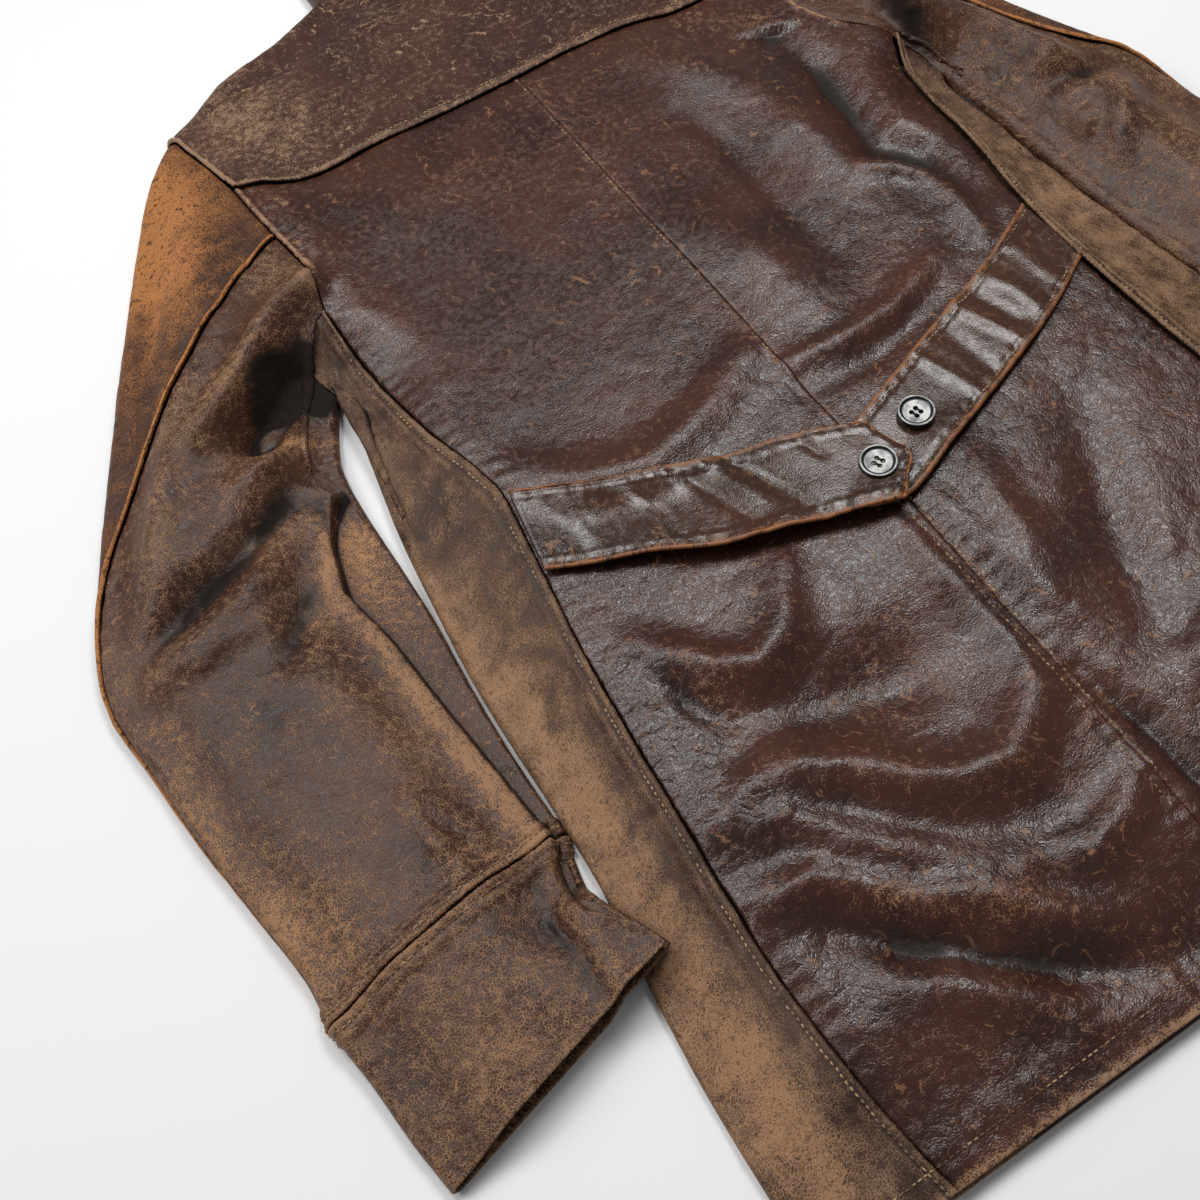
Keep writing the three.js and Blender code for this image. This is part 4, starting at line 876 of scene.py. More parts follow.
def under_columns(half, k, tops=UNDER_TOPS, below=40):
    """Ring positions of the under panel, crowded where the upper fold drops to the lower layer."""
    seam = list_at(half["back_seam"], np.minimum(k, SLEEVE_STEPS))[:, None]
    t = np.linspace(0, 1, tops + 1)[None]
    even = seam + (TOP_PARTS - seam) * t
    columns = even
    if half["strip"]:
        fold_start, fold_end = 0.68, 0.86
        edge = list_at(half["strip"], k)[:, None]
        share = soft((k - 4) / 2)[:, None]
        upper_end = (edge - 0.012) * TOP_PARTS
        lower_end = np.minimum((edge + 0.02) * TOP_PARTS, TOP_PARTS - 0.15)
        fitted = np.where(
            t < fold_start, seam + (upper_end - seam) * t / fold_start,
            np.where(
                t < fold_end, upper_end + (lower_end - upper_end) * (t - fold_start) / 0.18,
                lower_end + (TOP_PARTS - lower_end) * (t - fold_end) / 0.14,
            ),
        )
        columns = even + (fitted - even) * share
    rest = np.linspace(0, 1, below + 1)[1:]
    spread = TOP_PARTS + (FRONT_SEAM - TOP_PARTS) * rest**1.3
    return np.hstack([columns, np.tile(spread, (len(k), 1))])


def sleeve_grids(half, lists):
    k = np.linspace(0, SLEEVE_STEPS, SLEEVE_ROWS + 1)
    grids = []
    for columns in (upper_columns(half, k), under_columns(half, k)):
        steps = np.broadcast_to(k[:, None], columns.shape)
        grids.append(ring_points(half, lists, steps, columns))
    return grids


def cuff_grid(half, lists):
    k = np.linspace(SLEEVE_STEPS, SLEEVE_STEPS + CUFF_STEPS, CUFF_ROWS + 1)
    last = np.full(len(k), float(SLEEVE_STEPS))
    columns = np.hstack([under_columns(half, last), upper_columns(half, last, 70)[:, 1:-1]])
    steps = np.broadcast_to(k[:, None], columns.shape)
    return ring_points(half, lists, steps, columns)


# The belt halves span the crests of the back

def crest_height(x, y):
    z = body_height(x, y)
    for radius in CREST_REACH:
        for k in range(8):
            angle = math.pi * k / 4
            z = np.maximum(z, body_height(x + radius * math.cos(angle), y + radius * math.sin(angle)))
    return z


def belt_lift_right(u, _):
    """How far the right half stands off the back at each share of its length."""
    return 2.5 * np.sin(np.pi * np.minimum(u, 0.5)) * (1 - 0.6 * soft((u - 0.7) / 0.3))


def belt_lift_left(u, v):
    """The left half arches away along its lower edge, and its end lies over the right half."""
    arch = np.sin(np.pi * clamp01(u / 0.95)) ** 2
    over = (BELT_LEATHER + 1.2) * soft((u - 0.6) / 0.2)
    return arch * (1.5 + 5 * v) + over + (1 + v) * soft((u - 0.75) / 0.15)


def belt_grid(belt, lift, cols=96, rows=22):
    top, bottom = spaced(belt["top"], cols), spaced(belt["bottom"], cols)
    end = spaced(belt["end"], rows)
    west = mix(top[0], bottom[0], np.linspace(0, 1, rows + 1)[:, None])
    plan = patch(west, end, top, bottom)
    u = np.linspace(0, 1, cols + 1)[None]
    v = np.linspace(0, 1, rows + 1)[:, None]
    coarse = crest_height(plan[::2, ::4, 0], plan[::2, ::4, 1])
    z = np.zeros(plan.shape[:2])
    for i in range(rows + 1):
        at = min(i / 2, coarse.shape[0] - 1)
        low = int(min(at, coarse.shape[0] - 2))
        row = mix(coarse[low], coarse[low + 1], at - low)
        z[i] = np.interp(np.arange(cols + 1), np.arange(0, cols + 1, 4), row)
    return lifted(plan, z + LAY_GAP + BELT_LEATHER + lift(u, v))


# Relief along the seams, and creases

def border_distance(grid, border):
    """Distance from one border along the grid lines that run to it, and along the border."""
    turned = {"first_row": grid, "last_row": grid[::-1]}.get(border)
    by_rows = turned is not None
    if not by_rows:
        turned = np.swapaxes(grid, 0, 1)
        turned = turned[::-1] if border == "last_column" else turned
    steps = np.linalg.norm(np.diff(turned, axis=0), axis=-1)
    distance = np.concatenate([np.zeros((1, turned.shape[1])), np.cumsum(steps, axis=0)])
    along = np.broadcast_to(run_lengths(turned[0])[None], distance.shape)
    if border in ("last_row", "last_column"):
        distance, along = distance[::-1], along[::-1]
    return (distance, along) if by_rows else (distance.T, along.T)


def waver(along, size, seed):
    points = np.stack([along, np.zeros_like(along), np.zeros_like(along)], -1)
    return noise(points, size, seed)


def turned_edge(d, along, seed, height=1.5, ridge=1.1):
    """The folded edge of a panel that lies over its neighbour, with one stitched groove."""
    wave = 1 + 0.35 * waver(along, 9, seed)
    raised = height * soft((12 - d) / 4)
    rolled = raised + ridge * wave * bump(d, 2.1, 1.5)
    return rolled - 1.0 * bump(d, EDGE_STITCH, 1.1) + 0.5 * wave * bump(d, 8.2, 1.4)


def piped_edge(d, along, seed, height=1.9):
    """A rounded cord-like edge."""
    wave = 1 + 0.3 * waver(along, 12, seed)
    return height * wave * bump(d, 1.9, 1.5) - 0.5 * bump(d, 4.6, 1.2)


def sunk_edge(d, *_, depth=0.9):
    """The edge of a panel that goes on under its neighbour."""
    return -depth * np.exp(-d / 2.2)


def puckers(d, along, seed, inset, reach, height):
    """Short waves that a row of stitches draws the leather into."""
    phase = along / 5.2 * math.pi + 2.5 * waver(along, 20, seed)
    strength = 0.55 + 0.45 * waver(along, 34, seed + 1)
    return height * strength * np.sin(phase) * bump(d, inset, reach) - 0.5 * bump(d, inset, 1.0)


def armhole_ridge(d, along, seed, height=1.9):
    """The pale raised edge that a back panel has beside the sleeve only."""
    wave = 1 + 0.35 * waver(along, 11, seed)
    return height * wave * bump(d, 2.0, 1.7) * (1 - soft((along - 96) / 16))


def rolled_edge(d, *_):
    """A full turned edge with a dip before the stitches."""
    return 0.5 * bump(d, 2.4, 1.8) - 0.5 * bump(d, 5.2, 1.2)


def centre_puckers(d, along, seed, inset):
    """Puckers that grow towards the vent."""
    share = 0.25 + 0.75 * soft((along - 330) / 90)
    return share * puckers(d, along, seed, inset, 5.5, 0.75)


def relief(grid, facing, border, shape, seed, closed=False, **sizes):
    """The grid raised along one border. Each seed gives one run of noise."""
    distance, along = border_distance(grid, border)
    raise_by = shape(distance, along, seed, **sizes)
    return grid + grid_normals(grid, facing, closed) * raise_by[..., None]


# Creases of four sizes, as size, swell and valley
CREASES = [(34, 0.9, 0.0), (17, 0.5, 0.45), (9, 0.24, 0.3), (5.5, 0.12, 0.14)]

# How wrinkled the leather is: the level of a piece, and then [x, y, reach across, reach along, change]
CRUMPLED = {
    "yoke": [0.35, [-160, 60, 50, 60, 0.1]],
    "back": [
        0.55, [-95, -110, 95, 150, -0.45], [60, -100, 80, 140, -0.34], [-30, -270, 60, 30, 0.15],
        [-165, -470, 40, 80, 0.5], [-110, -620, 60, 40, 0.2], [-40, -440, 40, 60, -0.2],
        [130, -520, 60, 90, 0.15],
    ],
    "side": [0.45, [-206, -170, 20, 60, 0.4], [-215, -420, 20, 80, 0.25], [215, -250, 30, 80, 0.3]],
    "shoulder": [0.3, [-330, -150, 40, 50, 0.3], [250, -60, 50, 80, 0.2]],
    "sleeve": [
        0.45, [-270, -150, 50, 40, 0.35], [-310, -230, 60, 40, 0.35], [-285, -420, 30, 40, 0.5],
        [-262, -480, 20, 40, 0.4], [-340, -330, 40, 40, -0.1],
    ],
    "belt": [0.14],
    "plain": [0.4],
}


def crumple_at(kind, x, y):
    first, *patches = CRUMPLED[kind]
    value = np.full(x.shape, float(first))
    for *patch_at, more in patches:
        value = value + more * hill(x, y, *patch_at)
    return clamp01(value)


def crease(grid, facing, seed, kind, amount=1.0, closed=False):
    """Soft swells and the winding valleys between them, on what doesn't lie on the floor."""
    normals = grid_normals(grid, facing, closed)
    warp = np.stack([noise(grid, 24, seed + 50 + axis) for axis in range(3)], -1)
    place = grid + warp * 9
    total = 0.0
    for step, (size, swell, valley) in enumerate(CREASES):
        value = noise(place, size, seed + step)
        total = total + swell * value - valley * np.exp(-((value / 0.13) ** 2))
    keep = clamp01(normals[..., 2] * 1.6 + 0.25) * soft(grid[..., 2] / 5)
    keep = keep * (0.15 + 1.1 * crumple_at(kind, grid[..., 0], grid[..., 1]))
    return grid + normals * (total * amount * keep)[..., None]


def convexity(grid, facing, closed=False, reach=4):
    """How far each point stands above the middle of its neighbours, in millimetres."""
    normals = grid_normals(grid, facing, closed)
    mode = "wrap" if closed else "edge"
    padded = np.pad(grid, ((reach, reach), (0, 0), (0, 0)), "edge")
    rows = (padded[: -2 * reach] + padded[2 * reach:]) / 2
    padded = np.pad(grid, ((0, 0), (reach, reach), (0, 0)), mode)
    cols = (padded[:, : -2 * reach] + padded[:, 2 * reach:]) / 2
    value = ((grid - (rows + cols) / 2) * normals).sum(-1)
    value[:reach] = 0
    value[-reach:] = 0
    if not closed:
        value[:, :reach] = 0
        value[:, -reach:] = 0
    return value


# Where the dye is rubbed off, as [x, y, reach across, reach along, wear, warmth]
RUBBED = {
    "yoke": [
        [-165, 85, 42, 46, 0.34, 0.2], [-130, 40, 50, 30, 0.16, 0.1], [-40, 80, 50, 50, 0.06, 0.0],
        [60, 60, 60, 60, 0.10, 0.1],
    ],
    "back": [
        [-78, -470, 34, 26, 0.16, 0.5], [-130, -562, 26, 12, 0.22, 0.4], [-98, -592, 26, 14, 0.26, 0.5],
        [-148, -440, 14, 26, 0.20, 0.4], [-60, -60, 50, 40, 0.10, 0.5], [-60, -190, 60, 40, 0.10, 0.6],
        [20, -60, 16, 60, 0.08, 0.7], [60, -270, 40, 20, 0.12, 0.6], [-176, -40, 12, 80, 0.16, 0.3],
        [-50, -655, 60, 20, 0.14, 0.4], [-150, -640, 30, 20, 0.10, 0.4], [120, -40, 60, 30, 0.12, 0.3],
        [-110, -505, 30, 12, 0.10, 0.3], [-30, -560, 30, 30, 0.10, 0.6],
    ],
    "side": [
        [-238, -600, 26, 110, 0.36, 0.6], [-228, -430, 18, 90, 0.36, 0.5], [-212, -330, 12, 50, 0.12, 0.4],
        [-214, -190, 14, 50, 0.16, 0.2], [-232, -300, 10, 60, 0.26, 0.5], [-203, -500, 12, 60, -0.28, -0.3],
        [-203, -610, 14, 70, -0.24, -0.3], [205, -300, 30, 160, 0.2, 0.4], [220, -560, 40, 120, 0.36, 0.6],
    ],
    "shoulder": [
        [-240, 60, 50, 55, 0.54, 0.95], [-262, 0, 42, 46, 0.44, 0.9], [-300, -70, 30, 60, 0.16, 0.8],
        [-262, -40, 20, 30, 0.12, 0.9], [-350, -160, 40, 60, 0.06, 0.6], [240, 40, 60, 80, 0.2, 0.5],
        [280, -120, 50, 80, 0.14, 0.5], [-395, -290, 12, 60, 0.3, 0.5],
    ],
    "sleeve": [
        [-187, -80, 8, 7, 0.6, 0.0], [-205, -52, 16, 20, 0.28, 0.3], [-250, -112, 50, 16, 0.26, 0.35],
        [-300, -150, 30, 40, 0.16, 0.3], [-245, -165, 22, 8, 0.30, 0.6], [-388, -330, 14, 90, 0.34, 0.5],
        [-262, -400, 10, 30, 0.10, 0.5], [-372, -420, 22, 40, 0.36, 0.6], [-340, -480, 50, 40, 0.10, 0.4],
        [-300, -530, 60, 30, 0.14, 0.4], [-300, -432, 30, 9, 0.16, 0.5], [-345, -190, 30, 30, 0.12, 0.3],
        [280, -150, 40, 60, 0.15, 0.3], [300, -300, 60, 80, 0.15, 0.35], [340, -480, 60, 60, 0.2, 0.35],
    ],
    "belt": [[-90, -330, 60, 20, 0.05, 0.3], [80, -340, 60, 30, 0.04, 0.3]],
    "plain": [],
}


# Painted shade: where the leather is darkened as shade, most in hollows and beside folds, as [x, y, reach
# across, reach along, darkness]
PAINTED_SHADE = {
    "sleeve": [
        [-230, -125, 18, 14, 1.5], [-213, -122, 8, 14, 1.3], [-246, -135, 10, 6, 1.0],
        [-222, -142, 8, 8, 1.0], [-250, -203, 34, 8, 0.25], [-284, -256, 14, 9, 0.18],
        [-330, -314, 20, 17, 0.14], [-292, -196, 30, 8, 0.2], [-268, -452, 8, 10, 0.2],
        [-310, -222, 30, 9, 0.2], [224, -110, 10, 26, 0.5],
    ],
    "side": [
        [-219, -140, 5, 14, 0.7], [-203, -172, 9, 20, 0.2], [-198, -250, 10, 30, 0.14],
        [-196, -560, 8, 90, 0.14], [-214, -380, 7, 40, 0.12], [224, -140, 12, 30, 0.3],
    ],
    "back": [[-178, -40, 14, 50, 0.12], [150, -140, 14, 60, 0.16], [-60, -130, 50, 30, 0.05]],
    "shoulder": [[-225, -10, 12, 18, 0.12], [-345, -60, 14, 60, 0.12]],
}


# How unevenly each leather is worn, how much more its crests are, and the most that wear comes to
PATCHINESS = {
    "yoke": 0.17, "back": 0.15, "side": 0.3, "shoulder": 0.2, "sleeve": 0.19, "belt": 0.15, "plain": 0.15,
}
CREST_WEAR = 0.06
MOST_WEAR = 0.72


def tone_of(grid, facing, kind, wear=0.1, warmth=0.3, closed=False, borders=()):
    """What the material reads at each point: wear, warmth, painted shade and crumple, each from 0 to 1."""
    x, y = grid[..., 0], grid[..., 1]
    wear_here = np.full(x.shape, float(wear))
    warm_here = np.full(x.shape, float(warmth))
    for *patch_at, worn, warm in RUBBED[kind]:
        share = hill(x, y, *patch_at)
        wear_here = wear_here + worn * share
        warm_here = warm_here + (warm - warmth) * share
    warp = np.stack([noise(grid, 30, 900 + axis) for axis in range(3)], -1)
    clouds = noise(grid + warp * 12, 15, 910) + 0.6 * noise(grid + warp * 8, 7, 911)
    wear_here = wear_here + PATCHINESS[kind] * clouds + 0.09 * noise(grid, 52, 912)
    crest = convexity(grid, facing, closed)
    wear_here = wear_here + CREST_WEAR * np.clip(crest, -1.5, 1.5)
    wear_here = np.minimum(wear_here, MOST_WEAR)
    for border, inset, reach, worn, warm in borders:
        distance, along = border_distance(grid, border)
        share = bump(distance, inset, reach) * (0.8 + 0.5 * waver(along, 14, 920))
        wear_here = wear_here + worn * share
        warm_here = mix(warm_here, warm, clamp01(share))
    # painted shade: lower in hollows, where the surface is concave
    shade = 0.5 + crest / 8
    # painted shade patches lower the shade channel, darkest in hollows
    for *patch_at, dark in PAINTED_SHADE.get(kind, []):
        shade = shade - dark * hill(x, y, *patch_at)
    return np.stack([wear_here, warm_here, shade, crumple_at(kind, x, y)], -1)


DRIFT = 3.4
DRIFT_SIZE = 19
CLOUD_SIZE = 42


def unrolled(grid, anchor=None, across=None):
    """Places in millimetres as on the flat leather, counted along each row from one column."""
    plan = grid[..., :2].copy()
    if anchor is not None:
        steps = np.linalg.norm(np.diff(grid, axis=1), axis=-1)
        lengths = np.hstack([np.zeros((len(grid), 1)), np.cumsum(steps, axis=1)])
        lengths -= lengths[:, [anchor]]
        plan = plan[:, [anchor]] + np.asarray(across, float)[:, None] * lengths[..., None]
    flat = on_floor(plan)
    # moved a little, so that no pattern runs straight, and with broad clouds in the third number
    flat[..., 0] += DRIFT * noise(flat + 700, DRIFT_SIZE, 930)
    flat[..., 1] += DRIFT * noise(flat - 700, DRIFT_SIZE, 931)
    flat[..., 2] = 0.5 + 0.5 * noise(grid, CLOUD_SIZE, 932)
    return flat


# Stitches, as short rounded threads along a line of the surface

STITCH_PITCH = 3.4
STITCH_LENGTH = 2.5
STITCH_RADIUS = 0.5


def inset_line(grid, facing, border, inset, closed=False):
    """The points and normals of a grid at one distance from a border, along it."""
    distance, _ = border_distance(grid, border)
    both = np.concatenate([grid, grid_normals(grid, facing, closed)], -1)
    if border in ("first_column", "last_column"):
        distance, both = distance.T, np.swapaxes(both, 0, 1)
    if border in ("last_row", "last_column"):
        distance, both = distance[::-1], both[::-1]
    line = np.zeros((both.shape[1], 6))
    for j in range(both.shape[1]):
        for axis in range(6):
            line[j, axis] = np.interp(inset, distance[:, j], both[:, j, axis])
    return line


def stitched(line, start=0.0, end=1.0):
    """Vertices and faces of one row of stitches along part of a line."""
    lengths = run_lengths(line[:, :3])
    first, last = start * lengths[-1] + STITCH_PITCH, end * lengths[-1] - STITCH_PITCH / 2
    middles = np.arange(first, last, STITCH_PITCH)
    at = np.stack([np.interp(middles, lengths, line[:, axis]) for axis in range(6)], -1)
    ahead = np.stack([np.interp(middles + 0.8, lengths, line[:, axis]) for axis in range(3)], -1)
    centre, normal = at[:, :3], unit(at[:, 3:])
    along = unit(ahead - centre)
    side = unit(np.cross(normal, along))
    rings = [(-1, 0.01), (-0.75, 0.75), (0, 1), (0.75, 0.75), (1, 0.01)]
    sides = 6
    shape = []
    for t, r in rings:
        for k in range(sides):
            angle = 2 * math.pi * k / sides
            shape.append((
                t * STITCH_LENGTH / 2, r * STITCH_RADIUS * math.cos(angle),
                r * STITCH_RADIUS * math.sin(angle) + 0.3 - 0.42 * t * t,
            ))
    shape = np.array(shape)
    vertices = (
        centre[:, None] + along[:, None] * shape[None, :, :1]
        + side[:, None] * shape[None, :, 1:2] + normal[:, None] * shape[None, :, 2:]
    )
    faces = []
    for ring in range(len(rings) - 1):
        for k in range(sides):
            a, b = ring * sides + k, ring * sides + (k + 1) % sides
            faces.append((a, b, b + sides, a + sides))
    faces = np.array(faces)
    step = np.arange(len(middles))[:, None, None] * len(shape)
    return vertices.reshape(-1, 3), (faces[None] + step).reshape(-1, 4)


def add_stitches(node, rows, slot):
    """All the rows of one panel as one mesh. A row is a line, its start and its end."""
    vertices, faces = [], []
    count = 0
    for line, start, end in rows:
        points, quads = stitched(line, start, end)
        vertices.append(points)
        faces.append(quads + count)
        count += len(points)
    obj = new_object("stitches_" + node, np.vstack(vertices), np.vstack(faces), LOOKS["thread"])
    place(obj, slot)


def tube(points, radius, sides=8):
    """Vertices and faces of a closed tube along a list of points, with rounded ends."""
    points = np.asarray(points, float)
    along = unit(np.gradient(points, axis=0))
    side = unit(np.cross(along, np.array([0.0, 0.0, 1.0]) + 1e-6))
    up = np.cross(side, along)
    share = np.linspace(-1, 1, len(points))
    radii = radius * np.sqrt(np.maximum(1 - np.abs(share) ** 8, 0.02))
    angles = np.linspace(0, 2 * math.pi, sides, endpoint=False)
    ring = np.cos(angles)[None, :, None] * side[:, None] + np.sin(angles)[None, :, None] * up[:, None]
    vertices = (points[:, None] + ring * radii[:, None, None]).reshape(-1, 3)
    faces = []
    for i in range(len(points) - 1):
        for k in range(sides):
            a, b = i * sides + k, i * sides + (k + 1) % sides
            faces.append([b, a, a + sides, b + sides])
    faces.append(list(range(sides)))
    faces.append([(len(points) - 1) * sides + k for k in range(sides)][::-1])
    return vertices, faces


# Buttons: a thin rim round a groove and a dished face with four holes. The rim's top is a painted highlight
# in light grey, and the sides, groove and hole walls are near black, which in the groove and holes is painted
# shade

BUTTON_PROFILE = [
    (0, 0), (8.4, 0), (9.6, 0.35), (10.1, 1.2), (10.2, 3.0), (10.1, 4.1), (9.8, 4.65), (9.3, 4.8),
    (8.85, 4.6), (8.5, 4.0), (8.1, 3.55), (7.6, 3.4), (7.1, 3.5), (6.0, 3.25), (4.0, 2.95), (2.0, 2.8),
    (0, 2.75),
]
FACE_RADIUS = 7.3
FACE_LEVEL = 2.2
RIM_INSIDE = 9.05
RIM_LEVEL = 4.35
HOLE_RADIUS = 1.42
HOLE_SPACING = 1.75
PROFILE_STEPS = 44
BUTTON_SIDES = 72
THREAD_RADIUS = 0.36
THREAD_LEVEL = 3.1
LIP_RADIUS = 0.75
LIP_APART = 0.95
SLIT_RADIUS = 0.45


def button_mesh(holed):
    """The profile turned about its axis, and drilled where it shows."""
    curve = spaced(BUTTON_PROFILE, PROFILE_STEPS)
    sides = BUTTON_SIDES
    angles = np.linspace(0, 2 * math.pi, sides, endpoint=False)
    inner = curve[1:-1]
    vertices = [(0, 0, curve[0][1])]
    for r, z in inner:
        vertices += [(r * math.cos(a), r * math.sin(a), z) for a in angles]
    vertices.append((0, 0, curve[-1][1]))
    last = len(vertices) - 1
    faces = [(0, 1 + (k + 1) % sides, 1 + k) for k in range(sides)]
    for i in range(len(inner) - 1):
        for k in range(sides):
            a, b = 1 + i * sides + k, 1 + i * sides + (k + 1) % sides
            faces.append((a, b, b + sides, a + sides))
    top = 1 + (len(inner) - 1) * sides
    faces += [(last, top + k, top + (k + 1) % sides) for k in range(sides)]
    mesh = bpy.data.meshes.new("button")
    mesh.from_pydata(vertices, [], faces)
    if not holed:
        return mesh
    body = linked("button", mesh)
    cutters = []
    for sx, sy in ((1, 1), (1, -1), (-1, 1), (-1, -1)):
        way = [(sx * HOLE_SPACING, sy * HOLE_SPACING + 1e-4 * z, z) for z in (-2.0, 0.0, 3.0, 8.0)]
        points, quads = tube(way, HOLE_RADIUS, 20)
        drill = bpy.data.meshes.new("drill")
        drill.from_pydata(points.tolist(), [], quads)
        cutter = linked("drill", drill)
        cut = body.modifiers.new("hole", "BOOLEAN")
        cut.object = cutter
        cut.operation = "DIFFERENCE"
        cutters.append(cutter)
    shaped = bpy.data.meshes.new_from_object(body.evaluated_get(bpy.context.evaluated_depsgraph_get()))
    for extra in [body, *cutters]:
        bpy.data.objects.remove(extra)
    return shaped


def make_button(node, mesh, centre, turn, flipped=False):
    obj = linked("look_" + node, mesh.copy())
    flip = Matrix.Rotation(math.pi, 4, "X") if flipped else Matrix.Identity(4)
    spin = Matrix.Rotation(math.radians(turn), 4, "Z")
    at = Matrix.Translation(Vector(((np.array(centre) + SHIFT) / 1000).tolist()))
    for name in ("button_face", "button_black_and_shade", "button_rim_highlight"):
        obj.data.materials.append(LOOKS[name])
    for face in obj.data.polygons:
        r = math.hypot(face.center.x, face.center.y)
        high = face.center.z > FACE_LEVEL and abs(face.normal.z) > 0.2
        top = face.center.z > RIM_LEVEL
        face.use_smooth = True
        # near black: the sides, and painted shade in the groove and holes
        face.material_index = 1
        if high and r < FACE_RADIUS:
            face.material_index = 0
        # painted highlight on the top of the rim
        elif top and r > RIM_INSIDE:
            face.material_index = 2
    obj.data.transform(at @ flip @ spin @ Matrix.Scale(0.001, 4))
    place(obj, "button", node)


# Looks

def rgb(text):
    values = [int(text[i:i + 2], 16) / 255 for i in (1, 3, 5)]
    return tuple(v / 12.92 if v <= 0.04045 else ((v + 0.055) / 1.055) ** 2.4 for v in values) + (1.0,)


class Nodes:
    """Short ways to add nodes to one material. An input is a number, a colour or a socket."""

    def __init__(self, name):
        self.material = bpy.data.materials.new(name)
        self.material.use_nodes = True
        self.tree = self.material.node_tree
        self.shader = self.tree.nodes["Principled BSDF"]

    def add(self, kind, inputs=(), **settings):
        node = self.tree.nodes.new(kind)
        for key, value in settings.items():
            setattr(node, key, value)
        for key, value in dict(inputs).items():
            self.put(node.inputs[key], value)
        return node

    def put(self, socket, value):
        if isinstance(value, bpy.types.NodeSocket):
            self.tree.links.new(value, socket)
        else:
            socket.default_value = value

    def math(self, operation, *values, clamp=False):
        inputs = {k: value for k, value in enumerate(values)}
        return self.add("ShaderNodeMath", inputs, operation=operation, use_clamp=clamp).outputs[0]

    def ramp(self, value, low, high, out_low=0.0, out_high=1.0):
        inputs = {0: value, 1: low, 2: high, 3: out_low, 4: out_high}
        return self.add("ShaderNodeMapRange", inputs, interpolation_type="SMOOTHSTEP").outputs[0]

    def blend(self, factor, a, b, kind="MIX"):
        node = self.add("ShaderNodeMix", data_type="RGBA", blend_type=kind)
        for key, value in (("Factor_Float", factor), ("A_Color", a), ("B_Color", b)):
            socket = next(s for s in node.inputs if s.identifier == key)
            self.put(socket, value)
        return next(s for s in node.outputs if s.identifier == "Result_Color")

    def noise(self, vector, size, detail=2.0, roughness=0.5):
        inputs = {"Vector": vector, "Scale": 1 / size, "Detail": detail, "Roughness": roughness}
        return self.add("ShaderNodeTexNoise", inputs, noise_dimensions="2D").outputs["Fac"]

    def cells(self, vector, size):
        """Distance from the borders between cells, in cell sizes."""
        settings = {"feature": "DISTANCE_TO_EDGE", "voronoi_dimensions": "2D"}
        inputs = {"Vector": vector, "Scale": 1 / size}
        return self.add("ShaderNodeTexVoronoi", inputs, **settings).outputs["Distance"]

    def bend(self, vector, size, reach):
        """The same places, moved a little by noise so that cell borders run in curves."""
        inputs = {"Vector": vector, "Scale": 1 / size, "Detail": 0.0}
        drift = self.add("ShaderNodeTexNoise", inputs, noise_dimensions="2D").outputs["Color"]
        return self.vector("ADD", vector, self.vector("SCALE", drift, reach))

    def vector(self, operation, a, b):
        node = self.add("ShaderNodeVectorMath", operation=operation)
        self.put(node.inputs[0], a)
        self.put(node.inputs["Scale" if operation == "SCALE" else 1], b)
        return node.outputs[0]


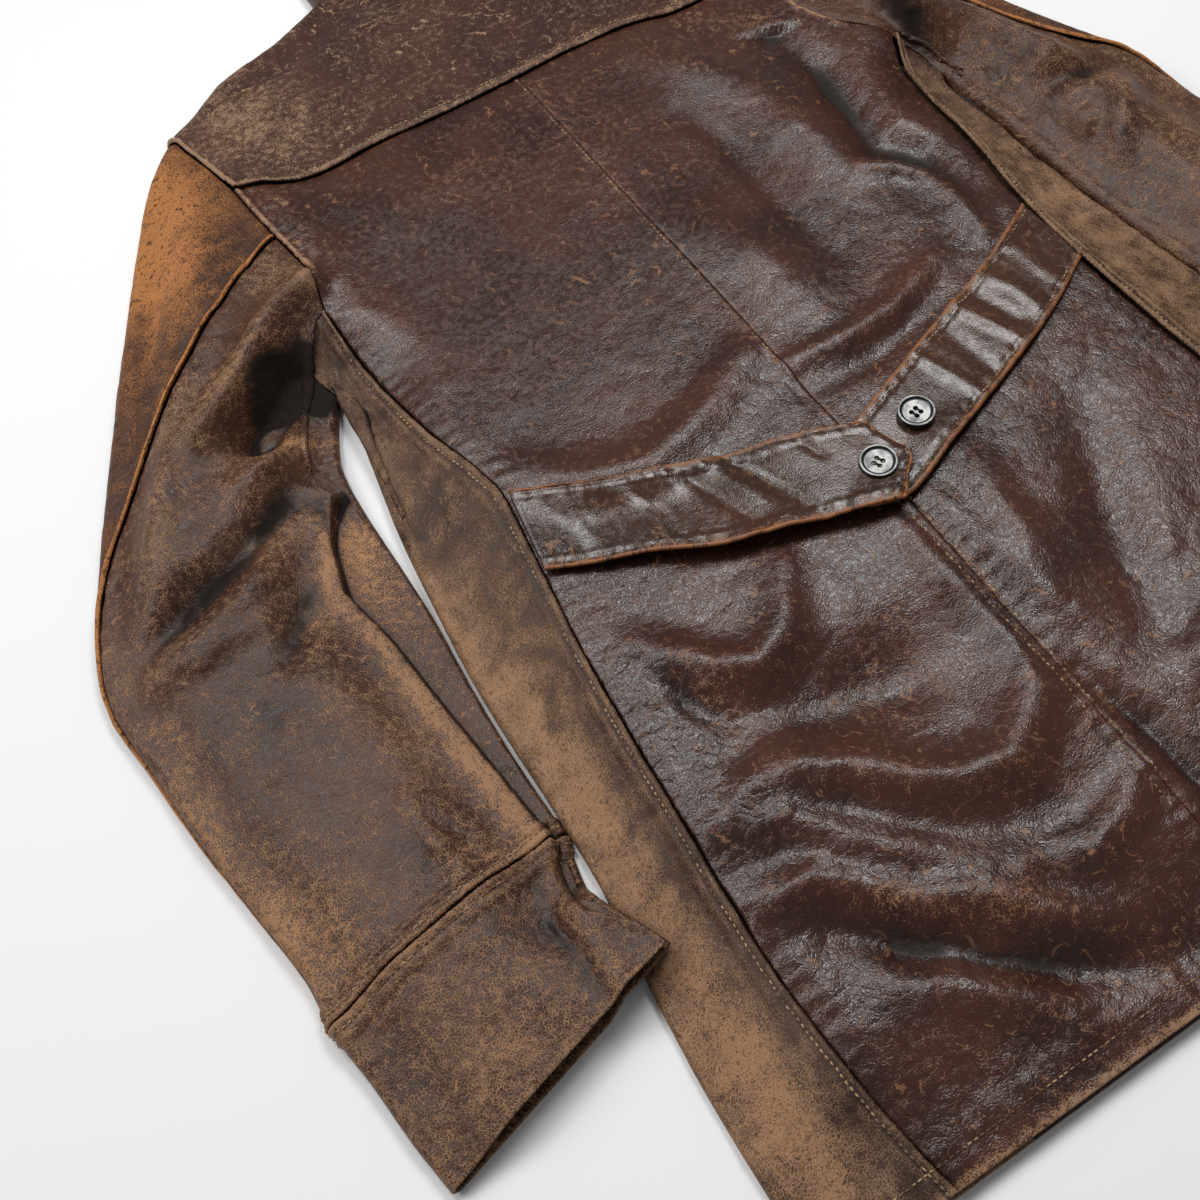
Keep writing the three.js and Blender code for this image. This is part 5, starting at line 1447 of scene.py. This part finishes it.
def leather(name, dark, deep, middle, worn, warm, gloss=0.36, shine=0.5, grain=0.05, wrinkle=0.18, pits=0.0,
            scratched=0.5, webbed=0.12):
    """Dyed leather, rubbed through to its own tan in cracks and specks, with pores and fine wrinkles."""
    n = Nodes(name)
    cloth = n.add("ShaderNodeAttribute", attribute_name="cloth").outputs["Vector"]
    broad = n.add("ShaderNodeSeparateXYZ", {0: cloth}).outputs[2]
    tone = n.add("ShaderNodeAttribute", attribute_name="tone")
    parts = n.add("ShaderNodeSeparateColor", {0: tone.outputs["Color"]})
    # the third channel, read here as crest, is painted shade
    wear, warmth, crest = parts.outputs[0], parts.outputs[1], parts.outputs[2]
    crumple = tone.outputs["Alpha"]

    mottle = n.noise(cloth, 4.2, 2, 0.6)
    fine = n.noise(cloth, 0.7, 1, 0.6)
    bent = n.bend(cloth, 3.2, 1.7)
    net = n.cells(bent, 1.7)
    lines = n.cells(bent, 7.0)
    scratches = n.math("ABSOLUTE", n.math("SUBTRACT", n.noise(cloth, 17, 1, 0.4), 0.5))

    # the tan shows first in the web of cracks and as fine specks, then all over
    crack = n.math("MULTIPLY", n.ramp(lines, 0.0, 0.07, 1.0, 0.0), crumple)
    web = n.math("MAXIMUM", crack, n.ramp(net, 0.02, 0.16, 1.0, 0.0))
    grit = n.math("ADD", n.math("MULTIPLY", fine, 0.36), n.math("MULTIPLY", mottle, 0.36))
    grit = n.math("ADD", grit, n.math("MULTIPLY", web, webbed))
    over = n.math("ADD", grit, n.math("SUBTRACT", n.math("MULTIPLY", wear, 0.42), 0.58))
    half_bare = n.ramp(over, -0.13, 0.05)
    bare = n.ramp(over, -0.03, 0.11)
    where_scratched = n.ramp(mottle, 0.47, 0.58, 0.0, scratched)
    scratch = n.math("MULTIPLY", n.ramp(scratches, 0.003, 0.011, 1.0, 0.0), where_scratched)

    base = n.blend(n.ramp(broad, 0.3, 0.7), rgb(dark), rgb(deep))
    base = n.blend(n.ramp(mottle, 0.36, 0.66, 0.0, 0.45), base, rgb(dark))
    # painted shade in the cracks: their web is darkened towards near black
    base = n.blend(n.math("MULTIPLY", web, 0.3), base, rgb("#1a100c"))
    bright = n.blend(n.ramp(warmth, 0.15, 0.9), rgb(worn), rgb(warm))
    colour = n.blend(n.math("MULTIPLY", half_bare, 0.8), base, rgb(middle))
    colour = n.blend(n.math("MULTIPLY", bare, 0.9), colour, bright)
    colour = n.blend(scratch, colour, bright)
    if pits:
        spots = n.math("ADD", n.math("MULTIPLY", mottle, 0.8), n.math("MULTIPLY", fine, 0.5))
        colour = n.blend(n.ramp(spots, 0.72, 0.81, 0.0, pits), colour, rgb("#2a1c14"))
    # painted shade: hollows and shaded patches go towards near black, and turn matte
    shade = n.ramp(crest, 0.0, 0.44, 1.0, 0.0)
    colour = n.blend(n.math("MULTIPLY", shade, 0.92), colour, rgb("#0e0806"))
    n.put(n.shader.inputs["Base Color"], colour)

    rough = n.math("ADD", n.math("MULTIPLY", half_bare, 0.22), gloss)
    rough = n.math("ADD", rough, n.ramp(shade, 0.6, 1.0, 0.0, 0.5))
    rough = n.math("ADD", rough, n.math("MULTIPLY", n.math("SUBTRACT", mottle, 0.5), 0.3))
    n.put(n.shader.inputs["Roughness"], n.math("MAXIMUM", rough, 0.18))
    n.shader.inputs["Specular IOR Level"].default_value = shine

    # heights in millimetres: fine pores, rounded pebbles between cracks and winding wrinkles
    pores = n.math("MULTIPLY", fine, grain)
    pebbles = n.math("MULTIPLY", n.ramp(net, 0.0, 0.34), grain)
    folds = n.math("MULTIPLY", n.ramp(lines, 0.0, 0.24), n.math("MULTIPLY", crumple, wrinkle))
    height = n.math("ADD", n.math("ADD", pores, pebbles), folds)
    raised = n.add("ShaderNodeBump", {"Height": height, "Distance": 0.001, "Strength": 1.0})
    n.put(n.shader.inputs["Normal"], raised.outputs["Normal"])
    return n.material


def thread(name, dark, light):
    n = Nodes(name)
    place = n.vector("SCALE", n.add("ShaderNodeTexCoord").outputs["Object"], 1000.0)
    shade = n.noise(place, 9, 2)
    twist = n.add("ShaderNodeTexWave", {"Vector": place, "Scale": 1.6, "Distortion": 2.0}).outputs["Fac"]
    n.put(n.shader.inputs["Base Color"], n.blend(n.ramp(shade, 0.4, 0.65), rgb(dark), rgb(light)))
    n.shader.inputs["Roughness"].default_value = 0.6
    raised = n.add("ShaderNodeBump", {"Height": twist, "Distance": 0.0001})
    n.put(n.shader.inputs["Normal"], raised.outputs["Normal"])
    return n.material


def horn(name, light, dark, roughness):
    """Mottled hard button material with fine scuffs."""
    n = Nodes(name)
    place = n.vector("SCALE", n.add("ShaderNodeTexCoord").outputs["Object"], 1000.0)
    cloud = n.noise(place, 7, 3, 0.6)
    scuff = n.noise(place, 0.9, 3, 0.7)
    n.put(n.shader.inputs["Base Color"], n.blend(n.ramp(cloud, 0.35, 0.68), rgb(light), rgb(dark)))
    n.put(n.shader.inputs["Roughness"], n.ramp(scuff, 0.3, 0.7, roughness - 0.06, roughness + 0.14))
    raised = n.add("ShaderNodeBump", {"Height": scuff, "Distance": 0.00004})
    n.put(n.shader.inputs["Normal"], raised.outputs["Normal"])
    return n.material


def paint(name, colour, roughness):
    n = Nodes(name)
    n.shader.inputs["Base Color"].default_value = rgb(colour)
    n.shader.inputs["Roughness"].default_value = roughness
    return n.material


LOOKS = {
    "yoke_leather": leather(
        "yoke_leather", "#33201a", "#452a20", "#5a3f2f", "#94765c", "#966c48",
        gloss=0.46, shine=0.3, scratched=0.9,
    ),
    "back_leather": leather(
        "back_leather", "#2f1b15", "#45281d", "#5a3524", "#9a7858", "#8c5630",
        gloss=0.27, shine=0.46, grain=0.06, wrinkle=0.14, webbed=0.13,
    ),
    "side_leather": leather(
        "side_leather", "#35251c", "#463328", "#654a36", "#8f7258", "#ab7f5c",
        gloss=0.52, shine=0.25, pits=0.6,
    ),
    "sleeve_leather": leather(
        "sleeve_leather", "#352118", "#482e20", "#60422e", "#8e6d50", "#a67a55",
        gloss=0.40, shine=0.3, webbed=0.16,
    ),
    "shoulder_leather": leather(
        "shoulder_leather", "#30201a", "#482c1e", "#764a29", "#93683e", "#b07440",
        gloss=0.5, shine=0.25, pits=0.9,
    ),
    "belt_leather": leather(
        "belt_leather", "#2f1e16", "#43291c", "#5c3e28", "#7c5230", "#905a31",
        gloss=0.22, shine=0.45, grain=0.025,
    ),
    "plain_leather": leather(
        "plain_leather", "#38241a", "#472f22", "#5a4130", "#7a5e42", "#8c6240",
        gloss=0.5, shine=0.3,
    ),
    "thread": thread("thread", "#694e36", "#c2a37b"),
    "button_thread": thread("button_thread", "#15100d", "#2a1f18"),
    "button_face": horn("button_face", "#cdcdc9", "#7c7e7e", 0.34),
    # near black sides, and painted shade in the groove and holes
    "button_black_and_shade": horn("button_black_and_shade", "#08080a", "#151515", 0.25),
    # painted highlight on the top of the rim
    "button_rim_highlight": horn("button_rim_highlight", "#bfc0be", "#858685", 0.3),
}


def panel(node, grid, slot, **options):
    obj = shell("look_" + node, grid, LOOKS[slot], **options)
    place(obj, slot, node)
    return obj


def make_yoke():
    grid, whole = yoke_grid()
    grid = relief(grid, 1, "first_row", turned_edge, 11, height=1.6)
    grid = relief(grid, 1, "first_column", piped_edge, 12, height=2.9)
    grid = relief(grid, 1, "last_column", piped_edge, 13)
    grid = crease(grid, 1, 100, "yoke")
    edges = [
        ("first_row", 2, 2.0, 0.7, 0.1), ("first_column", 2, 2.8, 1.0, 0.0),
        ("last_column", 2, 2.2, 0.7, 0.1),
    ]
    tone = tone_of(grid, 1, "yoke", wear=0.11, warmth=0.2, borders=edges)
    upright = np.tile([0.0, 1.0], (grid.shape[1], 1))
    cloth = np.swapaxes(unrolled(np.swapaxes(grid, 0, 1), 0, upright), 0, 1)
    panel("yoke_back", grid, "yoke_leather", facing=1, whole=whole, tone=tone, cloth=cloth)
    top = grid[: YOKE_ROWS + 1]
    rows = [(inset_line(top, 1, "first_row", EDGE_STITCH), 0.02, 0.98)]
    for side in ("first_column", "last_column"):
        rows.append((inset_line(top, 1, side, YOKE_ARM_STITCH), 0.04, 0.92))
    add_stitches("yoke_back", rows, "yoke_leather")


def make_back(half, lists, name):
    facing = -half["side"]
    grid = on_top(back_plan(lists))
    grid = relief(grid, facing, "first_row", sunk_edge, 21)
    grid = relief(grid, facing, "last_column", sunk_edge, 22)
    grid = relief(grid, facing, "last_column", puckers, 23, inset=6, reach=8, height=0.5)
    grid = relief(grid, facing, "last_column", armhole_ridge, 27)
    if name == "left":
        grid = relief(grid, facing, "first_column", piped_edge, 24, height=0.5)
    else:
        grid = relief(grid, facing, "first_column", sunk_edge, 24, depth=0.3)
    grid = relief(grid, facing, "first_column", centre_puckers, 25, inset=4)
    grid = relief(grid, facing, "last_row", puckers, 26, inset=HEM_STITCH, reach=9, height=0.9)
    grid = crease(grid, facing, 200, "back")
    edges = [
        ("last_row", 0, 5, 0.75, 0.2), ("first_column", 1.2, 1.2, 0.4, 0.7), ("last_column", 1, 3, -0.1, 0.3),
    ]
    tone = tone_of(grid, facing, "back", wear=0.03, warmth=0.6, borders=edges)
    distance, along = border_distance(grid, "last_column")
    ridge = armhole_ridge(distance, along, 27, height=1)
    tone[..., 0] += 0.9 * ridge
    tone[..., 1] = mix(tone[..., 1], 0.0, clamp01(ridge))
    panel("back_" + name, grid, "back_leather", facing=facing, tone=tone, cloth=unrolled(grid))
    centre_stitch = CENTRE_STITCH if name == "left" else CENTRE_STITCH_RIGHT
    rows = [(inset_line(grid, facing, "last_row", HEM_STITCH), 0.0, 1.0)]
    rows.append((inset_line(grid, facing, "first_column", centre_stitch), 0.56, 0.885))
    if name == "left":
        rows.append((inset_line(grid, facing, "first_column", CENTRE_STITCH_TOP), 0.0, 0.44))
    add_stitches("back_" + name, rows, "back_leather")


def make_side(half, lists, name):
    facing = -half["side"]
    grid = side_grid(half, lists)
    grid = relief(grid, facing, "first_column", turned_edge, 31, height=1.6, ridge=1.5)
    grid = relief(grid, facing, "last_row", puckers, 32, inset=HEM_STITCH, reach=9, height=0.8)
    grid = crease(grid, facing, 300, "side", amount=1.2)
    edges = [
        ("first_column", 2, 1.6, 0.4, 0.1), ("first_column", EDGE_STITCH, 1.6, -0.5, 0.2),
        ("last_row", 0, 3, 0.5, 0.3), ("first_column", 8.4, 1.5, 0.2, 0.1),
    ]
    tone = tone_of(grid, facing, "side", wear=0.30, warmth=0.3, borders=edges)
    cloth = unrolled(grid, 0, np.tile([half["side"], 0.0], (len(grid), 1)))
    panel("side_" + name, grid, "side_leather", facing=facing, tone=tone, cloth=cloth)
    rows = [(inset_line(grid, facing, "first_column", EDGE_STITCH), 0.02, 1.0)]
    rows.append((inset_line(grid[:, : SIDE_COLS + 1], facing, "last_row", HEM_STITCH), 0.0, 1.0))
    add_stitches("side_" + name, rows, "side_leather")


def along_strip():
    """How much of the fold over the lower layer each row of the under panel has, from 0 to 1."""
    k = np.linspace(0, SLEEVE_STEPS, SLEEVE_ROWS + 1)
    return soft((k - 4.6) / 1.2)


def puffed_fold(grid, facing):
    """A fuller, wavy edge on the fold that lies over the lower layer."""
    columns = np.arange(grid.shape[1])
    rows = run_lengths(grid[:, FOLD_COLUMN])
    wave = 1 + 0.5 * waver(rows, 13, 61) + 0.5 * waver(rows, 28, 62)
    raised = 1.4 * (along_strip() * wave)[:, None] * bump(columns, FOLD_COLUMN - 3, 3.5)[None]
    return grid + grid_normals(grid, facing) * raised[..., None]


def tone_of_strip(tone):
    """A pale crackled fold edge, shade under it, and a smooth lower layer with rust near its top."""
    columns = np.arange(tone.shape[1])
    rows = np.arange(tone.shape[0])
    share = along_strip()[:, None]
    wave = 1 + 0.6 * waver(rows, 9, 63)[:, None]
    edge = share * bump(columns, FOLD_COLUMN - 2, 2.6)[None] * wave
    edge = edge + 0.35 * share * bump(columns, FOLD_COLUMN - 8, 7)[None] * wave
    tone[..., 0] += 0.42 * edge
    tone[..., 1] = mix(tone[..., 1], 0.5, clamp01(edge))
    under_edge = share * bump(columns, FOLD_COLUMN + 8, 6)[None]
    tone[..., 2] -= 0.35 * under_edge
    lower = share * soft((columns - STRIP_COLUMN) / 4)[None]
    rust = bump(rows, 84, 30)[:, None] * bump(columns, 77, 9)[None]
    tone[..., 0] = mix(tone[..., 0], 0.12 + 0.5 * rust, lower)
    tone[..., 1] = mix(tone[..., 1], 0.7 + 0.3 * rust, lower)
    tone[..., 3] = mix(tone[..., 3], 0.15, lower)
    return tone


def make_sleeve(half, lists, name):
    facing = half["side"]
    upper, under = sleeve_grids(half, lists)
    upper = relief(upper, facing, "last_column", piped_edge, 41)
    upper = relief(upper, facing, "first_row", sunk_edge, 42)
    upper = relief(upper, facing, "last_row", turned_edge, 43, height=1.3)
    upper = crease(upper, facing, 400, "shoulder")
    k = np.linspace(0, SLEEVE_STEPS + CUFF_STEPS, SLEEVE_ROWS + CUFF_ROWS + 1)
    across = unit(rim_frame(half, "inner", k)["centre"] - rim_frame(half, "outer", k)["centre"])
    along_sleeve = across[: SLEEVE_ROWS + 1]
    edges = [("last_column", 2, 2.2, 0.7, 1.0), ("last_row", 2, 3, 0.3, 0.3)]
    tone = tone_of(upper, facing, "shoulder", wear=0.16, warmth=0.5, borders=edges)
    cloth = unrolled(upper, upper.shape[1] - 1, along_sleeve)
    panel("sleeve_top_" + name, upper, "shoulder_leather", facing=facing, tone=tone, cloth=cloth)
    under = relief(under, facing, "first_column", sunk_edge, 44)
    under = relief(under, facing, "first_row", sunk_edge, 45)
    under = relief(under, facing, "last_row", turned_edge, 46, height=1.3)
    under = crease(under, facing, 450, "sleeve", amount=1.1)
    if half["strip"]:
        under = puffed_fold(under, facing)
    tone = tone_of(under, facing, "sleeve", wear=0.13, warmth=0.25, borders=[("last_row", 2, 3, 0.3, 0.3)])
    if half["strip"]:
        tone = tone_of_strip(tone)
    cloth = unrolled(under, 0, along_sleeve)
    panel("sleeve_under_" + name, under, "sleeve_leather", facing=facing, tone=tone, cloth=cloth)
    rows = [(inset_line(under, facing, "last_row", EDGE_STITCH), 0.0, 1.0)]
    rows.append((inset_line(upper, facing, "last_row", EDGE_STITCH), 0.35, 1.0))
    add_stitches("sleeve_" + name, rows, "sleeve_leather")
    make_cuff(half, lists, name, across[-CUFF_ROWS - 1:])


def make_cuff(half, lists, name, across):
    facing = half["side"]
    cuff = cuff_grid(half, lists)
    cuff = relief(cuff, facing, "first_row", turned_edge, 47, closed=True, height=1.2)
    cuff = crease(cuff, facing, 480, "sleeve", closed=True)
    edges = [("first_row", 2, 3, 0.35, 0.3), ("last_row", 0, 2, 0.3, 0.2)]
    tone = tone_of(cuff, facing, "sleeve", wear=0.2, warmth=0.25, closed=True, borders=edges)
    cloth = unrolled(cuff, 0, across)
    panel("cuff_" + name, cuff, "sleeve_leather", facing=facing, closed=True, tone=tone, cloth=cloth)
    rows = [(inset_line(cuff, facing, "first_row", EDGE_STITCH, closed=True), 0.0, 1.0)]
    add_stitches("cuff_" + name, rows, "sleeve_leather")


def belt_folds(name, grid):
    """Soft folds across the belt."""
    total = 0.0
    for height, reach, line in BELT_FOLDS[name]:
        distance, _ = nearest(segments([line]), grid[..., 0], grid[..., 1])
        total = total + height * bump(distance, 0, reach)
    return total


def make_belt(name, belt, lift):
    grid = belt_grid(belt, lift)
    turned = ("first_row", "last_row", "last_column")
    for border in turned:
        grid = relief(grid, 1, border, puckers, 51, inset=5.5, reach=3.0, height=0.55)
        grid = relief(grid, 1, border, rolled_edge, 52)
    grid = grid + grid_normals(grid, 1) * belt_folds(name, grid)[..., None]
    grid = crease(grid, 1, 500, "belt", amount=0.5)
    edges = [(border, 0, 1.6, 0.7, 0.9) for border in turned]
    edges += [(border, 2.8, 1.5, 0.42, 0.9) for border in turned]
    tone = tone_of(grid, 1, "belt", wear=0.06, warmth=0.5, borders=edges)
    panel(name, grid, "belt_leather", thickness=BELT_LEATHER, facing=1, tone=tone, cloth=unrolled(grid))
    rows = [(inset_line(grid, 1, "first_row", BELT_STITCH), 0.0, 0.965)]
    rows.append((inset_line(grid, 1, "last_row", BELT_STITCH), 0.0, 0.95))
    if name == "belt_left":
        rows.append((inset_line(grid, 1, "last_column", BELT_STITCH), 0.12, 0.88))
    add_stitches(name, rows, "belt_leather")
    return grid


def surface_under(grid, x, y, radius):
    """The highest point of a grid within a radius of one place."""
    near = np.hypot(grid[..., 0] - x, grid[..., 1] - y) < radius
    return grid[..., 2][near].max()


def make_buttons(belts):
    holed = button_mesh(True)
    for node, (x, y) in BUTTON_PLACES.items():
        z = surface_under(belts[node], x, y, BUTTON_RADIUS - 2.5) + 0.2
        make_button(node, holed, (x, y, z), turn=BUTTON_TURNS[node])
        add_threads(node, (x, y, z), BUTTON_TURNS[node])
    plain = button_mesh(False)
    for k, y in enumerate(FRONT_BUTTON_YS):
        make_button(f"button_front_{k + 1}", plain, (0, y, BUTTON_HEIGHT), turn=0, flipped=True)


def add_threads(node, centre, turn):
    """The doubled thread between each pair of holes."""
    vertices, faces = [], []
    angle = math.radians(turn)
    for across in (-HOLE_SPACING, HOLE_SPACING):
        for beside in (-0.3, 0.3):
            t = np.linspace(-0.8, 0.8, 13)
            x, y, z = t * HOLE_SPACING, across + beside, THREAD_LEVEL - 1.6 * abs(t) ** 3
            turned = np.stack([
                x * math.cos(angle) - y * math.sin(angle), x * math.sin(angle) + y * math.cos(angle), z,
            ], -1)
            points, quads = tube(turned + np.array(centre), THREAD_RADIUS)
            faces += [[v + len(vertices) for v in face] for face in quads]
            vertices += points.tolist()
    obj = new_object("thread_" + node, vertices, faces, LOOKS["button_thread"])
    place(obj, "button")


def make_buttonhole(grid):
    """Two bound lips beside the button, with a tube painted near black between them as the shaded slit."""
    x0, y0, x1, y1 = BUTTONHOLE
    vertices, faces, tones = [], [], []
    along = unit(np.array([x1 - x0, y1 - y0, 0.0]))
    across = np.array([-along[1], along[0], 0.0])
    lips = ((-LIP_APART, LIP_RADIUS, 0.8), (LIP_APART, LIP_RADIUS, 0.8), (0.0, SLIT_RADIUS, 0.0))
    for offset, radius, worn in lips:
        points = []
        for t in np.linspace(0, 1, 17):
            x, y = x0 + (x1 - x0) * t, y0 + (y1 - y0) * t
            z = surface_under(grid, x, y, 2.5) + (0.8 if worn else 0.6)
            bow = offset * math.sin(math.pi * (0.12 + 0.76 * t))
            points.append(np.array([x, y, z]) + across * bow)
        ring, quads = tube(points, radius)
        faces += [[v + len(vertices) for v in face] for face in quads]
        vertices += ring.tolist()
        # the slit has no wear and full painted shade, so it reads near black
        tones += [[worn, 0.9 * worn, 0.5 if worn else 0.0, 0.3]] * len(ring)
    obj = new_object("buttonhole", vertices, faces, LOOKS["belt_leather"], np.array(tones), vertices)
    place(obj, "belt_leather")


def make_front(half, name):
    grid = front_grid(half)
    tone = tone_of(grid, -half["side"], "plain", wear=0.2)
    panel("front_" + name, grid, "plain_leather", facing=-half["side"], tone=tone, cloth=unrolled(grid))


def make_collar():
    collar = collar_grid()
    tone = tone_of(collar, 1, "yoke", wear=0.25)
    cloth = unrolled(collar, collar.shape[1] // 2, np.tile([1.0, 0.0], (len(collar), 1)))
    panel("collar", collar, "yoke_leather", facing=1, tone=tone, cloth=cloth)


make_yoke()
for half, lists, name in ((LEFT, LEFT_SEAMS, "left"), (RIGHT, RIGHT_SEAMS, "right")):
    make_back(half, lists, name)
    make_side(half, lists, name)
    make_front(half, name)
    make_sleeve(half, lists, name)
make_collar()
belts = {
    "button_spare": make_belt("belt_right", BELT_RIGHT, belt_lift_right),
    "button_belt": make_belt("belt_left", BELT_LEFT, belt_lift_left),
}
make_buttons(belts)
make_buttonhole(belts["button_belt"])


# Floor, light and camera, with the camera as in the photo

CAMERA_TARGET = (-157.614, -337.698, 0)
CAMERA_DISTANCE = 851.168
CAMERA_AZIMUTH = -24.2
CAMERA_ELEVATION = 60.0
CAMERA_ROLL = -10.006
CAMERA_LENS = 48
CAMERA_SENSOR = 36
FLOOR_SIZE = 6.0
WORLD_LIGHT = 0.2

# Soft lights in metres, as place, target, size and power
LIGHTS = {
    "key": ((0.46, 0.30, 1.48), (-0.05, -0.35, 0), 0.55, 12),
    "left": ((-0.40, 0.60, 1.48), (-0.02, -0.2, 0), 0.5, 9),
    "side": ((-2.4, 1.4, 2.6), (-0.1, -0.1, 0), 1.8, 54),
}


def make_camera():
    azimuth, elevation, roll = (math.radians(a) for a in (CAMERA_AZIMUTH, CAMERA_ELEVATION, CAMERA_ROLL))
    level_part = math.cos(elevation)
    back = Vector((math.sin(azimuth) * level_part, -math.cos(azimuth) * level_part, math.sin(elevation)))
    sideways = (-back).cross(Vector((0, 0, 1))).normalized()
    up = sideways.cross(-back)
    right = math.cos(roll) * sideways + math.sin(roll) * up
    up = -math.sin(roll) * sideways + math.cos(roll) * up
    target = (Vector(CAMERA_TARGET) + Vector(SHIFT.tolist())) / 1000
    data = bpy.data.cameras.new("camera")
    data.lens = CAMERA_LENS
    data.sensor_width = CAMERA_SENSOR
    data.clip_start = 0.01
    camera = linked("camera", data)
    camera.matrix_world = Matrix((
        (right.x, up.x, back.x, 0), (right.y, up.y, back.y, 0), (right.z, up.z, back.z, 0), (0, 0, 0, 1),
    ))
    camera.location = target + back * (CAMERA_DISTANCE / 1000)
    bpy.context.scene.camera = camera


def make_floor():
    size = FLOOR_SIZE
    mesh = bpy.data.meshes.new("floor")
    corners = [(-size, -size, 0), (size, -size, 0), (size, size, 0), (-size, size, 0)]
    mesh.from_pydata(corners, [], [(0, 1, 2, 3)])
    floor = linked("floor", mesh)
    floor.data.materials.append(paint("floor_paint", "#ebebeb", 0.9))


def area_light(name, at, target, size, power):
    data = bpy.data.lights.new(name, "AREA")
    data.size = size
    data.energy = power
    light = linked(name, data)
    light.location = at
    light.rotation_euler = (Vector(target) - Vector(at)).to_track_quat("-Z", "Y").to_euler()


def make_light():
    world = bpy.data.worlds.new("studio")
    world.use_nodes = True
    background = world.node_tree.nodes["Background"]
    background.inputs["Color"].default_value = (1, 1, 1, 1)
    background.inputs["Strength"].default_value = WORLD_LIGHT
    bpy.context.scene.world = world
    bpy.context.scene.view_settings.view_transform = "Standard"
    for name, settings in LIGHTS.items():
        area_light(name, *settings)


make_camera()
make_floor()
make_light()
